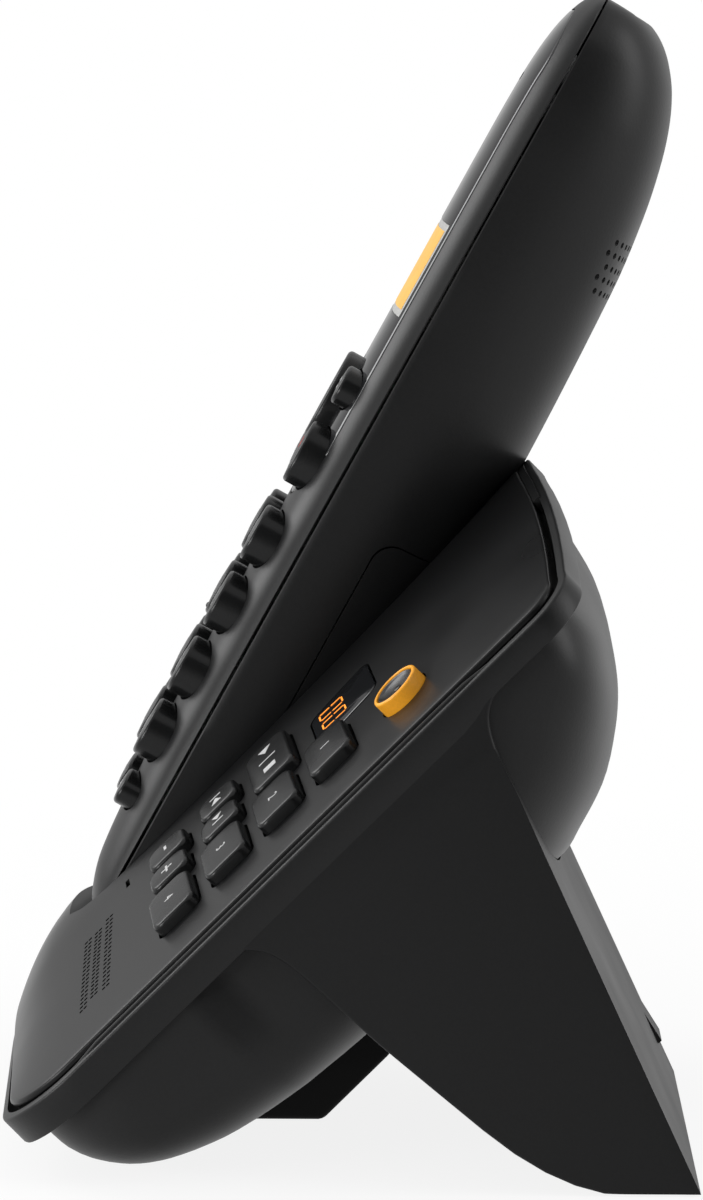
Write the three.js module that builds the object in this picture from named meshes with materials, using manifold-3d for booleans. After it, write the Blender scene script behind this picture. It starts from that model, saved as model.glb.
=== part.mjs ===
import * as THREE from 'three';
import { mergeVertices } from 'three/addons/utils/BufferGeometryUtils.js';
import Module from 'manifold-3d';

// A cordless phone: a handset that leans in the cradle of an answering-machine base.
// Millimetres. +X is the user's right, +Y the rear, +Z up.

const wasm = await Module();
wasm.setup();

const rad = THREE.MathUtils.degToRad;

// Driving dimensions of the base
const baseWidth = 122;
const plateLength = 121.5;
const plateSlopeDeg = 44.7;
const noseHeightShare = 0.064139918;
const noseReachShare = 0.011703704;
const noseRadius = 15;
const topRadius = 8;
const topBow = 6.2;
const facetTiltDeg = 11.03;
const facetWidthShare = 0.418033;
const noseFade = 22;
const noseFadeShare = 0.58;
const bowlDepthShare = 0.275720;
const standDepthShare = 0.833745;
const standHeightShare = 0.758025;

// Driving dimensions of the handset, and the place of its foot on the plate
const handsetLength = 166;
const handsetWidthShare = 0.393443;
const handsetFront = 5.8;
const handsetBack = 24.7;
const handsetLeanDeg = 61;
const footUpShare = 0.176374;
const footOut = 7.803;
const cradleMargin = 5;

// Walls and fits
const fitGap = 0.3;
const cradleGap = 0.8;
const coverWall = 2.4;
const coverInset = 2.9;
const coverLip = 0.9;
const coverLipInset = 2.6;
const bowlWall = 2;
const bowlInset = 2.3;
const bellyInset = 1;
const bowlEndInset = 3.45;
const rimDrop = 0.7;
const rimHeight = 5;
const rimWall = 1.4;
const cradleWall = 2;
const handsetFrontWall = 2.6;
const handsetBackWall = 1.8;
const overrun = 5;
const deepCut = 70;

// Keys: travel, and the room under them
const keyTravel = 1;
const handsetKeyTravel = 0.8;
const keyFlange = 0.45;
const keyFootOverlap = 0.4;
const keyEdgeShare = 0.6;

const colours = {
  shell: 0x2b2b2c,
  plate: 0x3c3d3e,
  key: 0x333435,
  well: 0x1d1d1e,
  lens: 0x17181a,
  rubber: 0x161616,
  orange: 0xefa01e,
  amber: 0xe4b864,
  metal: 0xc9a24a,
  steel: 0x9a9c9e,
  board: 0x1f4a32,
  cell: 0x8b8f93,
};

const phone = new THREE.Group();
const plateGroup = new THREE.Group();
const facetGroup = new THREE.Group();
const handsetGroup = new THREE.Group();

const halfWidth = baseWidth / 2;
const facetWidth = baseWidth * facetWidthShare;
const facetEdge = halfWidth - facetWidth;
const bowlDepth = plateLength * bowlDepthShare;
const noseHeight = plateLength * noseHeightShare;
const noseReach = plateLength * noseReachShare;
const standDepth = plateLength * standDepthShare;
const standHeight = plateLength * standHeightShare;
const handsetWidth = baseWidth * handsetWidthShare;
plateGroup.position.set(0, -noseReach, noseHeight);
plateGroup.rotation.x = rad(plateSlopeDeg);
facetGroup.position.set(halfWidth, 0, 0);
facetGroup.rotation.y = rad(facetTiltDeg);
plateGroup.add(facetGroup);
phone.add(plateGroup, handsetGroup);
phone.updateMatrixWorld(true);

// The handset stands on its foot and leans back, beside the facet
const handsetMiddle = facetEdge - handsetWidth / 2 - cradleMargin;
const handsetFoot = new THREE.Vector3(handsetMiddle, plateLength * footUpShare, footOut);
const handsetAxis = new THREE.Vector3(0, Math.cos(rad(handsetLeanDeg)), Math.sin(rad(handsetLeanDeg)));
handsetGroup.position.copy(handsetFoot).applyMatrix4(plateGroup.matrixWorld);
handsetGroup.position.addScaledVector(handsetAxis, handsetLength);
handsetGroup.rotation.x = rad(handsetLeanDeg);
phone.updateMatrixWorld(true);

const plateFromFacet = facetGroup.matrix.clone();
const rowFromPlate = plateGroup.matrixWorld.clone();
const plateFromRow = rowFromPlate.clone().invert();
const rowFromHandset = handsetGroup.matrixWorld.clone();
const plateFromHandset = plateFromRow.clone().multiply(rowFromHandset);

// Solids

const weldDistance = 1e-5;

function solid(geometry) {
  const bare = geometry.clone();
  bare.deleteAttribute('normal');
  bare.deleteAttribute('uv');
  const merged = mergeVertices(bare, weldDistance);
  return new wasm.Manifold(new wasm.Mesh({
    numProp: 3,
    vertProperties: new Float32Array(merged.attributes.position.array),
    triVerts: new Uint32Array(merged.index.array),
  }));
}

function geometryOf(manifold) {
  const mesh = manifold.getMesh();
  const geometry = new THREE.BufferGeometry();
  geometry.setAttribute('position', new THREE.BufferAttribute(mesh.vertProperties, mesh.numProp));
  geometry.setIndex(new THREE.BufferAttribute(mesh.triVerts, 1));
  geometry.computeVertexNormals();
  return geometry;
}

function moved(manifold, matrix) {
  return solid(geometryOf(manifold).applyMatrix4(matrix));
}

function addPiece(parent, name, manifold, colour, roughness = 0.6, metalness = 0) {
  const material = new THREE.MeshStandardMaterial({ color: colour, roughness, metalness });
  const mesh = new THREE.Mesh(geometryOf(manifold), material);
  mesh.name = name;
  parent.add(mesh);
  return mesh;
}

function signedVolume(geometry) {
  const p = geometry.attributes.position;
  const [a, b, c] = [new THREE.Vector3(), new THREE.Vector3(), new THREE.Vector3()];
  let volume = 0;
  for (let i = 0; i < geometry.index.count; i += 3) {
    a.fromBufferAttribute(p, geometry.index.getX(i));
    b.fromBufferAttribute(p, geometry.index.getX(i + 1));
    c.fromBufferAttribute(p, geometry.index.getX(i + 2));
    volume += a.dot(b.cross(c));
  }
  return volume;
}

// A closed solid through rings of points. flat gives a ring point's place in the plane of the end caps.
function loft(rings, flat) {
  const count = rings[0].length;
  const geometry = new THREE.BufferGeometry().setFromPoints(rings.flat());
  const index = [];
  for (let r = 0; r + 1 < rings.length; r += 1) {
    for (let i = 0; i < count; i += 1) {
      const next = (i + 1) % count;
      const [a, b, c, d] = [r * count + i, r * count + next, (r + 1) * count + next, (r + 1) * count + i];
      index.push(a, b, c, a, c, d);
    }
  }
  const last = (rings.length - 1) * count;
  const first = THREE.ShapeUtils.triangulateShape(rings[0].map(flat), []);
  const final = THREE.ShapeUtils.triangulateShape(rings[rings.length - 1].map(flat), []);
  const sideways = THREE.ShapeUtils.area(rings[0].map(flat)) > 0;
  first.forEach(([a, b, c]) => index.push(a, sideways ? c : b, sideways ? b : c));
  final.forEach(([a, b, c]) => index.push(last + a, last + (sideways ? b : c), last + (sideways ? c : b)));
  geometry.setIndex(index);
  if (signedVolume(geometry) < 0) {
    for (let i = 0; i < index.length; i += 3) {
      [index[i + 1], index[i + 2]] = [index[i + 2], index[i + 1]];
    }
    geometry.setIndex(index);
  }
  return solid(geometry);
}

function block(width, length, height, x, y, z) {
  const geometry = new THREE.BoxGeometry(width, length, height);
  return solid(geometry.translate(x, y, z));
}

function rod(radius, bottom, top, x, y, sides = 16) {
  const geometry = new THREE.CylinderGeometry(radius, radius, top - bottom, sides);
  geometry.rotateX(Math.PI / 2);
  return solid(geometry.translate(x, y, (top + bottom) / 2));
}

// A rounded rectangle about the origin. lean slides its far end sideways, corner by corner.
function roundedOutline(width, length, radius, lean = 0, steps = 3) {
  const points = [];
  const [hx, hy] = [width / 2 - radius, length / 2 - radius];
  [[1, 1], [-1, 1], [-1, -1], [1, -1]].forEach(([sx, sy], corner) => {
    for (let i = 0; i <= steps; i += 1) {
      const angle = (corner + i / steps) * (Math.PI / 2);
      const y = sy * hy + radius * Math.sin(angle);
      points.push(new THREE.Vector2(sx * hx + radius * Math.cos(angle) + lean * (y / length), y));
    }
  });
  return points;
}

function ovalOutline(width, length, power = 2.5, sides = 12) {
  const points = [];
  for (let i = 0; i < sides; i += 1) {
    const angle = ((i + 0.5) / sides) * Math.PI * 2;
    const [c, s] = [Math.cos(angle), Math.sin(angle)];
    const x = Math.sign(c) * Math.abs(c) ** (2 / power);
    const y = Math.sign(s) * Math.abs(s) ** (2 / power);
    points.push(new THREE.Vector2((x * width) / 2, (y * length) / 2));
  }
  return points;
}

function prism(outline, bottom, top, x = 0, y = 0) {
  const options = { depth: top - bottom, bevelEnabled: false };
  const geometry = new THREE.ExtrudeGeometry(new THREE.Shape(outline), options);
  return solid(geometry.translate(x, y, bottom));
}

// A key: its foot under the cover, its stem through the hole and its crowned top.
// makeOutline(width, length) draws the key's outline; levels are heights, [bottom, foot top, key top].
function keySolid(makeOutline, width, length, levels, crown, foot) {
  const [bottom, footTop, top] = levels;
  const layers = [
    [width, length, footTop - keyFootOverlap],
    [width, length, top - crown],
    [width - crown * keyEdgeShare, length - crown * keyEdgeShare, top - crown * keyEdgeShare ** 2],
    [width - crown * 2, length - crown * 2, top],
  ];
  const rings = layers.map(([w, l, z]) => makeOutline(w, l).map((p) => new THREE.Vector3(p.x, p.y, z)));
  const stem = loft(rings, (p) => new THREE.Vector2(p.x, p.y));
  return stem.add(prism(makeOutline(foot.width, foot.length), bottom, footTop));
}

// The base: crowned plate and pebble bowl, in the plate's own frame (x across, y up the slope, z out)

const facetTilt = Math.tan(rad(facetTiltDeg));
const facetRise = facetTilt * facetWidth;
const farWidth = baseWidth - facetWidth;
const farDrop = (facetRise + facetTilt * farWidth) / farWidth ** 2;

function crown(x, y) {
  const past = facetEdge - x;
  const far = facetRise + facetTilt * past - farDrop * past ** 2;
  const height = past <= 0 ? facetTilt * (halfWidth - x) : far;
  const fade = y < noseFade ? 1 - noseFadeShare * (1 - y / noseFade) ** 2 : 1;
  return height * fade;
}

// Half the plate's width at y up the slope, for an outline drawn in by inset.
function plateHalf(y, inset) {
  const half = halfWidth - inset;
  const [nose, top] = [noseRadius - inset, topRadius - inset];
  const topEnd = plateLength - inset;
  const cornerTop = topEnd - topBow * (1 - topRadius / halfWidth) ** 2;
  const cornerStart = cornerTop - top;
  if (y < inset + nose) {
    return half - nose + Math.sqrt(Math.max(nose ** 2 - (inset + nose - y) ** 2, 0));
  }
  if (y <= cornerStart) {
    return half;
  }
  if (y <= cornerTop) {
    return half - top + Math.sqrt(Math.max(top ** 2 - (y - cornerStart) ** 2, 0));
  }
  return halfWidth * Math.sqrt(Math.max(topEnd - y, 0) / topBow);
}

const noseSteps = 5;
const middleStepShares = [0.22, 0.4, 0.6, 0.8];
const topSteps = 4;
const bowShares = [0.6, 0.3];
const acrossShares = [-1, -0.93, -0.8, -0.62, -0.42, -0.22, 0];

function plateStations(inset) {
  const [nose, top] = [noseRadius - inset, topRadius - inset];
  const topEnd = plateLength - inset;
  const cornerStart = topEnd - topBow * (1 - topRadius / halfWidth) ** 2 - top;
  const stations = [];
  for (let i = 0; i <= noseSteps; i += 1) {
    stations.push(inset + nose * (1 - Math.cos((Math.PI / 2) * (i / noseSteps))));
  }
  middleStepShares.forEach((share) => stations.push(share * plateLength));
  for (let i = 0; i <= topSteps; i += 1) {
    stations.push(cornerStart + top * Math.sin((Math.PI / 2) * (i / topSteps)));
  }
  bowShares.forEach((share) => stations.push(topEnd - topBow * share ** 2));
  return stations;
}

// The slab between the crowned surface raised by lift and one lower by thickness.
function crownedSlab(inset, lift, thickness) {
  const rings = plateStations(inset).map((y) => {
    const half = plateHalf(y, inset);
    const far = acrossShares.map((share) => facetEdge + share * (facetEdge + half));
    const xs = [...far, half];
    const upper = xs.map((x) => new THREE.Vector3(x, y, crown(x, y) + lift));
    const lower = xs.map((x) => new THREE.Vector3(x, y, crown(x, y) + lift - thickness));
    return [...upper, ...lower.reverse()];
  });
  return loft(rings, (p) => new THREE.Vector2(p.x, p.z));
}

// Shares of the plate's length and the bowl's depth, from the nose to the top end
const bowlShares = [
  [0, 0.361], [0.027, 0.492], [0.062, 0.61], [0.106, 0.7], [0.179, 0.797], [0.282, 0.863],
  [0.393, 0.91], [0.513, 0.935], [0.615, 0.985], [0.713, 1], [0.752, 0.964], [0.812, 0.893],
  [0.875, 0.752], [0.912, 0.636], [0.945, 0.484], [0.974, 0.307], [0.99, 0.1],
];
const bowlPowers = [6, 3];
const bellyEndShare = 0.3;
const bulgeStartShare = 0.6;
const bowlSides = 10;
const bowlTop = 20;

function bowlSolid(grow) {
  const rings = bowlShares.map(([along, deep]) => {
    const reach = plateLength / 2 - bowlEndInset + grow;
    const y = plateLength / 2 + (2 * along - 1) * reach;
    const blend = (along - bellyEndShare) / (bulgeStartShare - bellyEndShare);
    const share = Math.min(Math.max(blend, 0), 1);
    const bowlPower = mix(bowlPowers[0], bowlPowers[1], share);
    const inset = along < bellyEndShare ? bellyInset : bowlInset;
    const half = plateHalf(along * plateLength, 0) - inset + grow;
    const depth = deep * bowlDepth + grow;
    const points = [new THREE.Vector3(half, y, bowlTop), new THREE.Vector3(-half, y, bowlTop)];
    for (let i = 0; i <= bowlSides; i += 1) {
      const angle = Math.PI * (i / bowlSides);
      const c = -Math.cos(angle);
      const x = Math.sign(c) * Math.abs(c) ** (2 / bowlPower) * half;
      points.push(new THREE.Vector3(x, y, -depth * Math.sin(angle) ** (2 / bowlPower)));
    }
    return points;
  });
  return loft(rings, (p) => new THREE.Vector2(p.x, p.z));
}

// The handset, in its own frame: x across, y up its length from the top end, z out of its front

// Shares of the handset's length, half width, front height and back depth, from the top end to the foot
const handsetShares = [
  [0, 0.58, 0.17, 0.28], [0.004, 0.69, 0.34, 0.365], [0.014, 0.79, 0.53, 0.475], [0.03, 0.875, 0.7, 0.58],
  [0.049, 0.93, 0.83, 0.668], [0.077, 0.97, 0.93, 0.755], [0.108, 0.992, 0.98, 0.82], [0.163, 1, 1, 0.895],
  [0.241, 1, 1, 0.953], [0.482, 1, 1, 1], [0.723, 1, 1, 0.992], [0.813, 1, 0.98, 0.951],
  [0.892, 1, 0.89, 0.81], [0.946, 0.983, 0.77, 0.587], [0.982, 0.9, 0.47, 0.324], [1, 0.73, 0.13, 0.065],
];
const frontPowers = [3.9, 1.6];
const backPower = 2.6;
const sectionSides = 8;
const sidesToMiddle = sectionSides / 2;

function mix(a, b, share) {
  return a + (b - a) * share;
}

function handsetSection(along) {
  const share = along / handsetLength;
  let i = 0;
  while (i < handsetShares.length - 2 && handsetShares[i + 1][0] < share) i += 1;
  const [low, high] = [handsetShares[i], handsetShares[i + 1]];
  const between = (share - low[0]) / (high[0] - low[0]);
  return {
    half: mix(low[1], high[1], between) * (handsetWidth / 2),
    front: mix(low[2], high[2], between) * handsetFront,
    back: mix(low[3], high[3], between) * handsetBack,
  };
}

// Height of the front skin over the parting plane, grow mm outside the real one.
function frontHeight(x, along, grow = 0) {
  const section = handsetSection(along);
  const across = Math.min(Math.abs(x) / (section.half + grow), 1);
  return (section.front + grow) * (1 - across ** frontPowers[0]) ** (1 / frontPowers[1]);
}

// openFront puts straight walls of that height in place of the front, to leave room to lift the handset.
function handsetSolid(grow, openFront = 0) {
  const rings = handsetShares.map(([along, wide, high, deep]) => {
    const y = -(along * handsetLength + grow * (2 * along - 1));
    const half = (wide * handsetWidth) / 2 + grow;
    const front = Math.max(high * handsetFront + grow, fitGap);
    const back = Math.max(deep * handsetBack + grow, fitGap);
    const points = [];
    for (let i = 0; i < sectionSides; i += 1) {
      const angle = Math.PI * (i / sectionSides);
      const c = Math.cos(angle);
      const x = Math.sign(c) * Math.abs(c) ** (2 / frontPowers[0]) * half;
      const z = front * Math.sin(angle) ** (2 / frontPowers[1]);
      const wallX = half * (1 - i / sidesToMiddle);
      const wallZ = openFront * Math.sign(Math.sin(angle));
      points.push(openFront ? new THREE.Vector3(wallX, y, wallZ) : new THREE.Vector3(x, y, z));
    }
    for (let i = 0; i < sectionSides; i += 1) {
      const angle = Math.PI * (i / sectionSides);
      const c = -Math.cos(angle);
      const x = Math.sign(c) * Math.abs(c) ** (2 / backPower) * half;
      points.push(new THREE.Vector3(x, y, -back * Math.sin(angle) ** (2 / backPower)));
    }
    return points;
  });
  return loft(rings, (p) => new THREE.Vector2(p.x, p.z));
}

// Base controls, on the flat facet: s is the distance in from the right edge, y the distance up the slope

// Shares of the facet's width: places from the right edge, and widths
const facetShares = {
  nearColumn: 0.407843,
  nextColumn: 0.64902,
  farColumn: 0.823529,
  nearKey: 0.254902,
  smallKey: 0.145098,
  playKey: 0.319608,
  ring: 0.333333,
  counter: 0.717647,
  counterWidth: 0.266667,
  board: 0.509804,
  boardWidth: 0.784314,
  speaker: 0.6,
  grille: 0.343137,
  grillePitch: 0.05098,
};

// Shares of the plate's length: places up the slope, and lengths
const plateShares = {
  nearRow: 0.328395,
  rowPitch: 0.089465,
  nearKey: 0.06749,
  smallKey: 0.062551,
  playKey: 0.069136,
  ring: 0.712757,
  ringRadius: 0.033745,
  ringBore: 0.028807,
  counter: 0.633745,
  counterLength: 0.101235,
  board: 0.526749,
  boardLength: 0.54321,
  lowPost: 0.493827,
  highPost: 0.707819,
  speaker: 0.193416,
  grille: 0.21893,
  bandPitch: 0.020576,
  slit: 0.263374,
};

const rowTilt = 0.07;
const nearColumn = facetWidth * facetShares.nearColumn;
const nextColumn = facetWidth * facetShares.nextColumn;
const farColumn = facetWidth * facetShares.farColumn;
const nearRow = plateLength * plateShares.nearRow;
const rowPitch = plateLength * plateShares.rowPitch;
const nearKey = { width: facetWidth * facetShares.nearKey, length: plateLength * plateShares.nearKey };
const smallKey = { width: facetWidth * facetShares.smallKey, length: plateLength * plateShares.smallKey };
const playKey = { width: facetWidth * facetShares.playKey, length: plateLength * plateShares.playKey };
const baseKeyHeight = 2;
const baseKeyRadius = 1.6;
const baseKeyCrown = 0.7;
const ringKey = {
  s: facetWidth * facetShares.ring,
  y: plateLength * plateShares.ring,
  radius: plateLength * plateShares.ringRadius,
  bore: plateLength * plateShares.ringBore,
  height: 2.3,
};
const counter = {
  s: facetWidth * facetShares.counter,
  y: plateLength * plateShares.counter,
  width: facetWidth * facetShares.counterWidth,
  length: plateLength * plateShares.counterLength,
  lean: -2.3,
  radius: 1.2,
};
const counterWall = 1.8;
const boardDrop = 6.6;
const boardWall = 1.6;
const baseBoard = {
  s: facetWidth * facetShares.board,
  y: plateLength * plateShares.board,
  width: facetWidth * facetShares.boardWidth,
  length: plateLength * plateShares.boardLength,
};

function rowAt(row, s) {
  return nearRow + rowPitch * row + rowTilt * (s - nearColumn);
}

const baseKeys = [
  { name: 'menu_key_1', s: nearColumn, row: 3, size: nearKey },
  { name: 'menu_key_2', s: nearColumn, row: 2, size: nearKey },
  { name: 'menu_key_3', s: nearColumn, row: 1, size: nearKey },
  { name: 'menu_key_4', s: nearColumn, row: 0, size: nearKey },
  { name: 'play_stop_key', s: (nextColumn + farColumn) / 2, row: 2, size: playKey },
  { name: 'next_key', s: nextColumn, row: 1, size: smallKey },
  { name: 'previous_key', s: farColumn, row: 1, size: smallKey },
  { name: 'volume_up_key', s: nextColumn, row: 0, size: smallKey },
  { name: 'volume_down_key', s: farColumn, row: 0, size: smallKey },
];

const baseOutline = (w, l) => roundedOutline(w, l, baseKeyRadius);

function facetCut(outline, s, y) {
  return moved(prism(outline, -coverWall - overrun, overrun, -s, y), plateFromFacet);
}

const cradleSpaceHeight = 60;
const cradleSpace = moved(handsetSolid(cradleGap, cradleSpaceHeight), plateFromHandset);

// Screw posts stand between the cradle and the board
const postRadius = 2.5;
const postClear = 1;
const post = {
  x: handsetMiddle + handsetWidth / 2 + cradleGap + cradleWall + postClear + postRadius,
  radius: postRadius,
  bore: 1.5,
  low: plateLength * plateShares.lowPost,
  high: plateLength * plateShares.highPost,
};
const screw = { radius: 1.2, head: 2.7, headHeight: 1.6, length: 12, seat: 2.4, boss: 3.6, bossHeight: 4 };
const speaker = {
  s: facetWidth * facetShares.speaker,
  y: plateLength * plateShares.speaker,
  radius: 10.5,
  height: 2.9,
  drop: 3.3,
};
const boardPost = { radius: 2, inset: 3 };
const grille = {
  bands: 3,
  rows: 10,
  s: facetWidth * facetShares.grille,
  y: plateLength * plateShares.grille,
  bandPitch: plateLength * plateShares.bandPitch,
  rowPitch: facetWidth * facetShares.grillePitch,
  slot: 0.9,
  length: 1.5,
  tilt: 0.116,
};
const slitInset = 2.3;
const slitRow = plateLength * plateShares.slit;
const microphoneSlit = { x: facetEdge + slitInset, y: slitRow, width: 3, length: 0.8 };

function postBottom(y) {
  const share = (y - bowlEndInset) / (plateLength - 2 * bowlEndInset);
  let i = 0;
  while (bowlShares[i + 1][0] < share) i += 1;
  const [low, high] = [bowlShares[i], bowlShares[i + 1]];
  return -bowlDepth * mix(low[1], high[1], (share - low[0]) / (high[0] - low[0]));
}

function makeTopCover() {
  const lip = crownedSlab(coverLipInset, 0, coverLip);
  let cover = crownedSlab(coverInset, -coverLip / 4, coverWall - coverLip / 4).add(lip);
  const boardTop = -boardDrop + fitGap;
  const corners = [[-1, -1], [-1, 1], [1, -1], [1, 1]];
  for (const [sx, sy] of corners) {
    const s = baseBoard.s + sx * (baseBoard.width / 2 - boardPost.inset);
    const y = baseBoard.y + sy * (baseBoard.length / 2 - boardPost.inset);
    const peg = rod(boardPost.radius, boardTop, -coverWall / 2, -s, y, 8);
    cover = cover.add(moved(peg, plateFromFacet));
  }
  for (const y of [post.low, post.high]) {
    const floor = postBottom(y) + screw.bossHeight + 2 * fitGap;
    const peg = rod(post.radius, floor, crown(post.x, y) - coverWall / 2, post.x, y, 12);
    cover = cover.add(peg.intersect(bowlSolid(-bowlWall - fitGap)));
    cover = cover.subtract(rod(post.bore, floor - overrun, floor + screw.length, post.x, y, 10));
  }
  for (const key of baseKeys) {
    const hole = baseOutline(key.size.width + 2 * fitGap, key.size.length + 2 * fitGap);
    cover = cover.subtract(facetCut(hole, key.s, rowAt(key.row, key.s)));
  }
  const [windowWidth, windowLength] = [counter.width + 2 * fitGap, counter.length + 2 * fitGap];
  const window = roundedOutline(windowWidth, windowLength, counter.radius, counter.lean);
  cover = cover.subtract(facetCut(window, counter.s, counter.y));
  const ringHole = rod(ringKey.radius + fitGap, -coverWall - overrun, overrun, -ringKey.s, ringKey.y, 28);
  cover = cover.subtract(moved(ringHole, plateFromFacet));
  for (let band = 0; band < grille.bands; band += 1) {
    for (let row = 0; row < grille.rows; row += 1) {
      const s = grille.s + row * grille.rowPitch;
      const rise = grille.tilt * (row - grille.rows) * grille.rowPitch;
      const y = grille.y - band * grille.bandPitch + rise;
      const slot = block(grille.slot, grille.length, coverWall + overrun, -s, y, 0);
      cover = cover.subtract(moved(slot, plateFromFacet));
    }
  }
  const { x, y, width, length } = microphoneSlit;
  const slit = block(width, length, 2 * coverWall, x, y, crown(x, y));
  return cover.subtract(slit).subtract(cradleSpace);
}

// The sockets sit in a bay under the left half of the bowl, which opens to the rear
const bayShares = { front: 0.510288, rear: 0.757202, bottom: 0.180247, top: 0.328395, socket: 0.274074 };
const bayInset = 11;
const bayWidth = 26;
const bay = {
  left: bayInset - halfWidth,
  right: bayInset - halfWidth + bayWidth,
  front: plateLength * bayShares.front,
  rear: plateLength * bayShares.rear,
  bottom: plateLength * bayShares.bottom,
  top: plateLength * bayShares.top,
};
const socketHeight = plateLength * bayShares.socket;
const lineJackInset = 17.5;
const powerJackInset = 6;
const lineJack = {
  x: bay.left + lineJackInset,
  z: socketHeight,
  width: 12,
  height: 10,
  depth: 12,
  mouthWidth: 9.7,
  mouthHeight: 6.6,
};
const powerJack = {
  x: bay.left + powerJackInset,
  z: socketHeight,
  width: 9,
  height: 10,
  depth: 12,
  mouthWidth: 6,
  mouthHeight: 6.6,
};
const jackBack = 2;

function rowBox(left, right, front, rear, bottom, top, grow = 0) {
  const size = [right - left + 2 * grow, rear - front + 2 * grow, top - bottom + 2 * grow];
  return block(...size, (left + right) / 2, (front + rear) / 2, (bottom + top) / 2);
}

function jackBox(jack, grow) {
  const front = bay.front - jack.depth + jackBack / 2;
  const [w, h] = [jack.width / 2, jack.height / 2];
  return rowBox(jack.x - w, jack.x + w, front, bay.front + jackBack / 2, jack.z - h, jack.z + h, grow);
}

function makeLowerShell() {
  const under = crownedSlab(0, -rimDrop - rimHeight / 2, deepCut);
  const rim = crownedSlab(0, -rimDrop, rimHeight);
  const outer = bowlSolid(0).intersect(under).add(rim);
  const recess = crownedSlab(rimWall, overrun, overrun + coverWall + fitGap);
  let shell = outer.subtract(bowlSolid(-bowlWall)).subtract(recess);
  const bayBox = rowBox(bay.left, bay.right, bay.front, bay.rear, bay.bottom, bay.top);
  const lining = rowBox(bay.left, bay.right, bay.front, bay.rear, bay.bottom, bay.top, bowlWall);
  shell = shell.add(moved(lining, plateFromRow).intersect(outer));
  shell = shell.subtract(moved(bayBox, plateFromRow));
  for (const jack of [lineJack, powerJack]) {
    shell = shell.subtract(moved(jackBox(jack, fitGap), plateFromRow));
  }
  for (const y of [post.low, post.high]) {
    const skin = postBottom(y);
    const boss = rod(screw.boss, skin + fitGap, skin + screw.bossHeight, post.x, y, 16);
    const hole = rod(post.bore, skin - overrun, skin + overrun, post.x, y, 10);
    const seat = rod(screw.head + fitGap, skin - overrun, skin + screw.seat, post.x, y, 16);
    shell = shell.add(boss.intersect(bowlSolid(0))).subtract(hole).subtract(seat);
  }
  return shell;
}

function makeCradle() {
  const outer = moved(handsetSolid(cradleGap + cradleWall, cradleSpaceHeight), plateFromHandset);
  const room = crownedSlab(coverInset + bowlWall, -coverWall - fitGap, deepCut);
  let well = outer.intersect(room).intersect(bowlSolid(-bowlWall - fitGap)).subtract(cradleSpace);
  for (const side of [-1, 1]) {
    const [width, length] = [chargePin.width + 2 * fitGap, chargePin.length + 2 * fitGap];
    const hole = onFoot(width, length, 2 * chargePin.depth, side * contact.x, 2 * chargePin.depth);
    well = well.subtract(moved(hole, plateFromHandset));
  }
  return well;
}

// Charging contacts, on the slope of the handset's foot
const contactInset = 6;
const contact = { x: 7, along: handsetLength - contactInset, width: 4, length: 5, wall: 0.6, sunk: 0.2 };
const chargePin = { width: 2.4, length: 3, depth: 4.4 };
const footSlope = Math.atan2(
  (handsetShares[13][3] - handsetShares[14][3]) * handsetBack,
  (handsetShares[14][0] - handsetShares[13][0]) * handsetLength,
);

// A box whose outer face lies out mm outside the foot's slope, in the handset's frame.
function onFoot(width, length, height, x, out) {
  const depth = handsetSection(contact.along).back;
  const across = Math.abs(x) / handsetSection(contact.along).half;
  const skin = depth * (1 - across ** backPower) ** (1 / backPower);
  const geometry = new THREE.BoxGeometry(width, length, height);
  geometry.translate(0, 0, -out + height / 2);
  geometry.rotateX(-footSlope);
  return solid(geometry.translate(x, -contact.along, -skin));
}

// The stand: a right-hand panel flush with the rim, a left leg and the rear wall between them

const standWall = 2;
const legMargin = 3;
const leftLeg = bay.right + legMargin;
const legClear = 0.4;
const standShares = [
  [0.3314, 0.3889], [0.362, 0.3908], [0.3877, 0.383], [0.4219, 0.3561], [0.5242, 0.2537],
  [0.5549, 0.2243], [0.8006, 0], [1, 0], [0.7735, 0.5417], [0.7359, 0.6347],
  [0.7013, 0.7111], [0.6924, 0.761], [0.7151, 0.812], [0.7498, 0.8502], [0.7943, 0.9001],
  [0.7814, 0.9608], [0.4946, 0.6866],
];
const wallShares = [[1, 0], [0.7735, 0.5417], [0.7359, 0.6347], [0.7013, 0.7111]];
const wallInnerShare = 0.024;
const gusset = { length: 12, width: 11, wall: 2 };
const pad = { width: 9, length: 9, height: 1.3 };
const hook = { width: 1.5, length: 9, rise: 7, bottom: 8, slit: 1 };

function sidePlate(shares, left, thickness) {
  const points = shares.map(([y, z]) => new THREE.Vector2(y * standDepth, z * standHeight));
  const options = { depth: thickness, bevelEnabled: false };
  const geometry = new THREE.ExtrudeGeometry(new THREE.Shape(points), options);
  const axes = new THREE.Matrix4().makeBasis(
    new THREE.Vector3(0, 1, 0),
    new THREE.Vector3(0, 0, 1),
    new THREE.Vector3(1, 0, 0),
  );
  return solid(geometry.applyMatrix4(axes.setPosition(left, 0, 0)));
}

const pedestalShares = [
  [0.2962, 0], [0.4432, 0], [0.5489, 0.1162], [0.5035, 0.2063], [0.3949, 0.1737], [0.2962, 0.0651],
];
const pedestalInset = 9;
const pedestalRightShare = 0.219672;
const pedestal = { left: pedestalInset - halfWidth, right: halfWidth * pedestalRightShare };

function makePedestal(grow) {
  const width = pedestal.right - pedestal.left + 2 * grow;
  const body = sidePlate(pedestalShares, pedestal.left - grow, width);
  return body.subtract(moved(bowlSolid(fitGap), rowFromPlate));
}

function rearWallAt(height) {
  const share = height / (wallShares[1][1] * standHeight);
  return mix(wallShares[0][0], wallShares[1][0], share) * standDepth;
}

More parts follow.
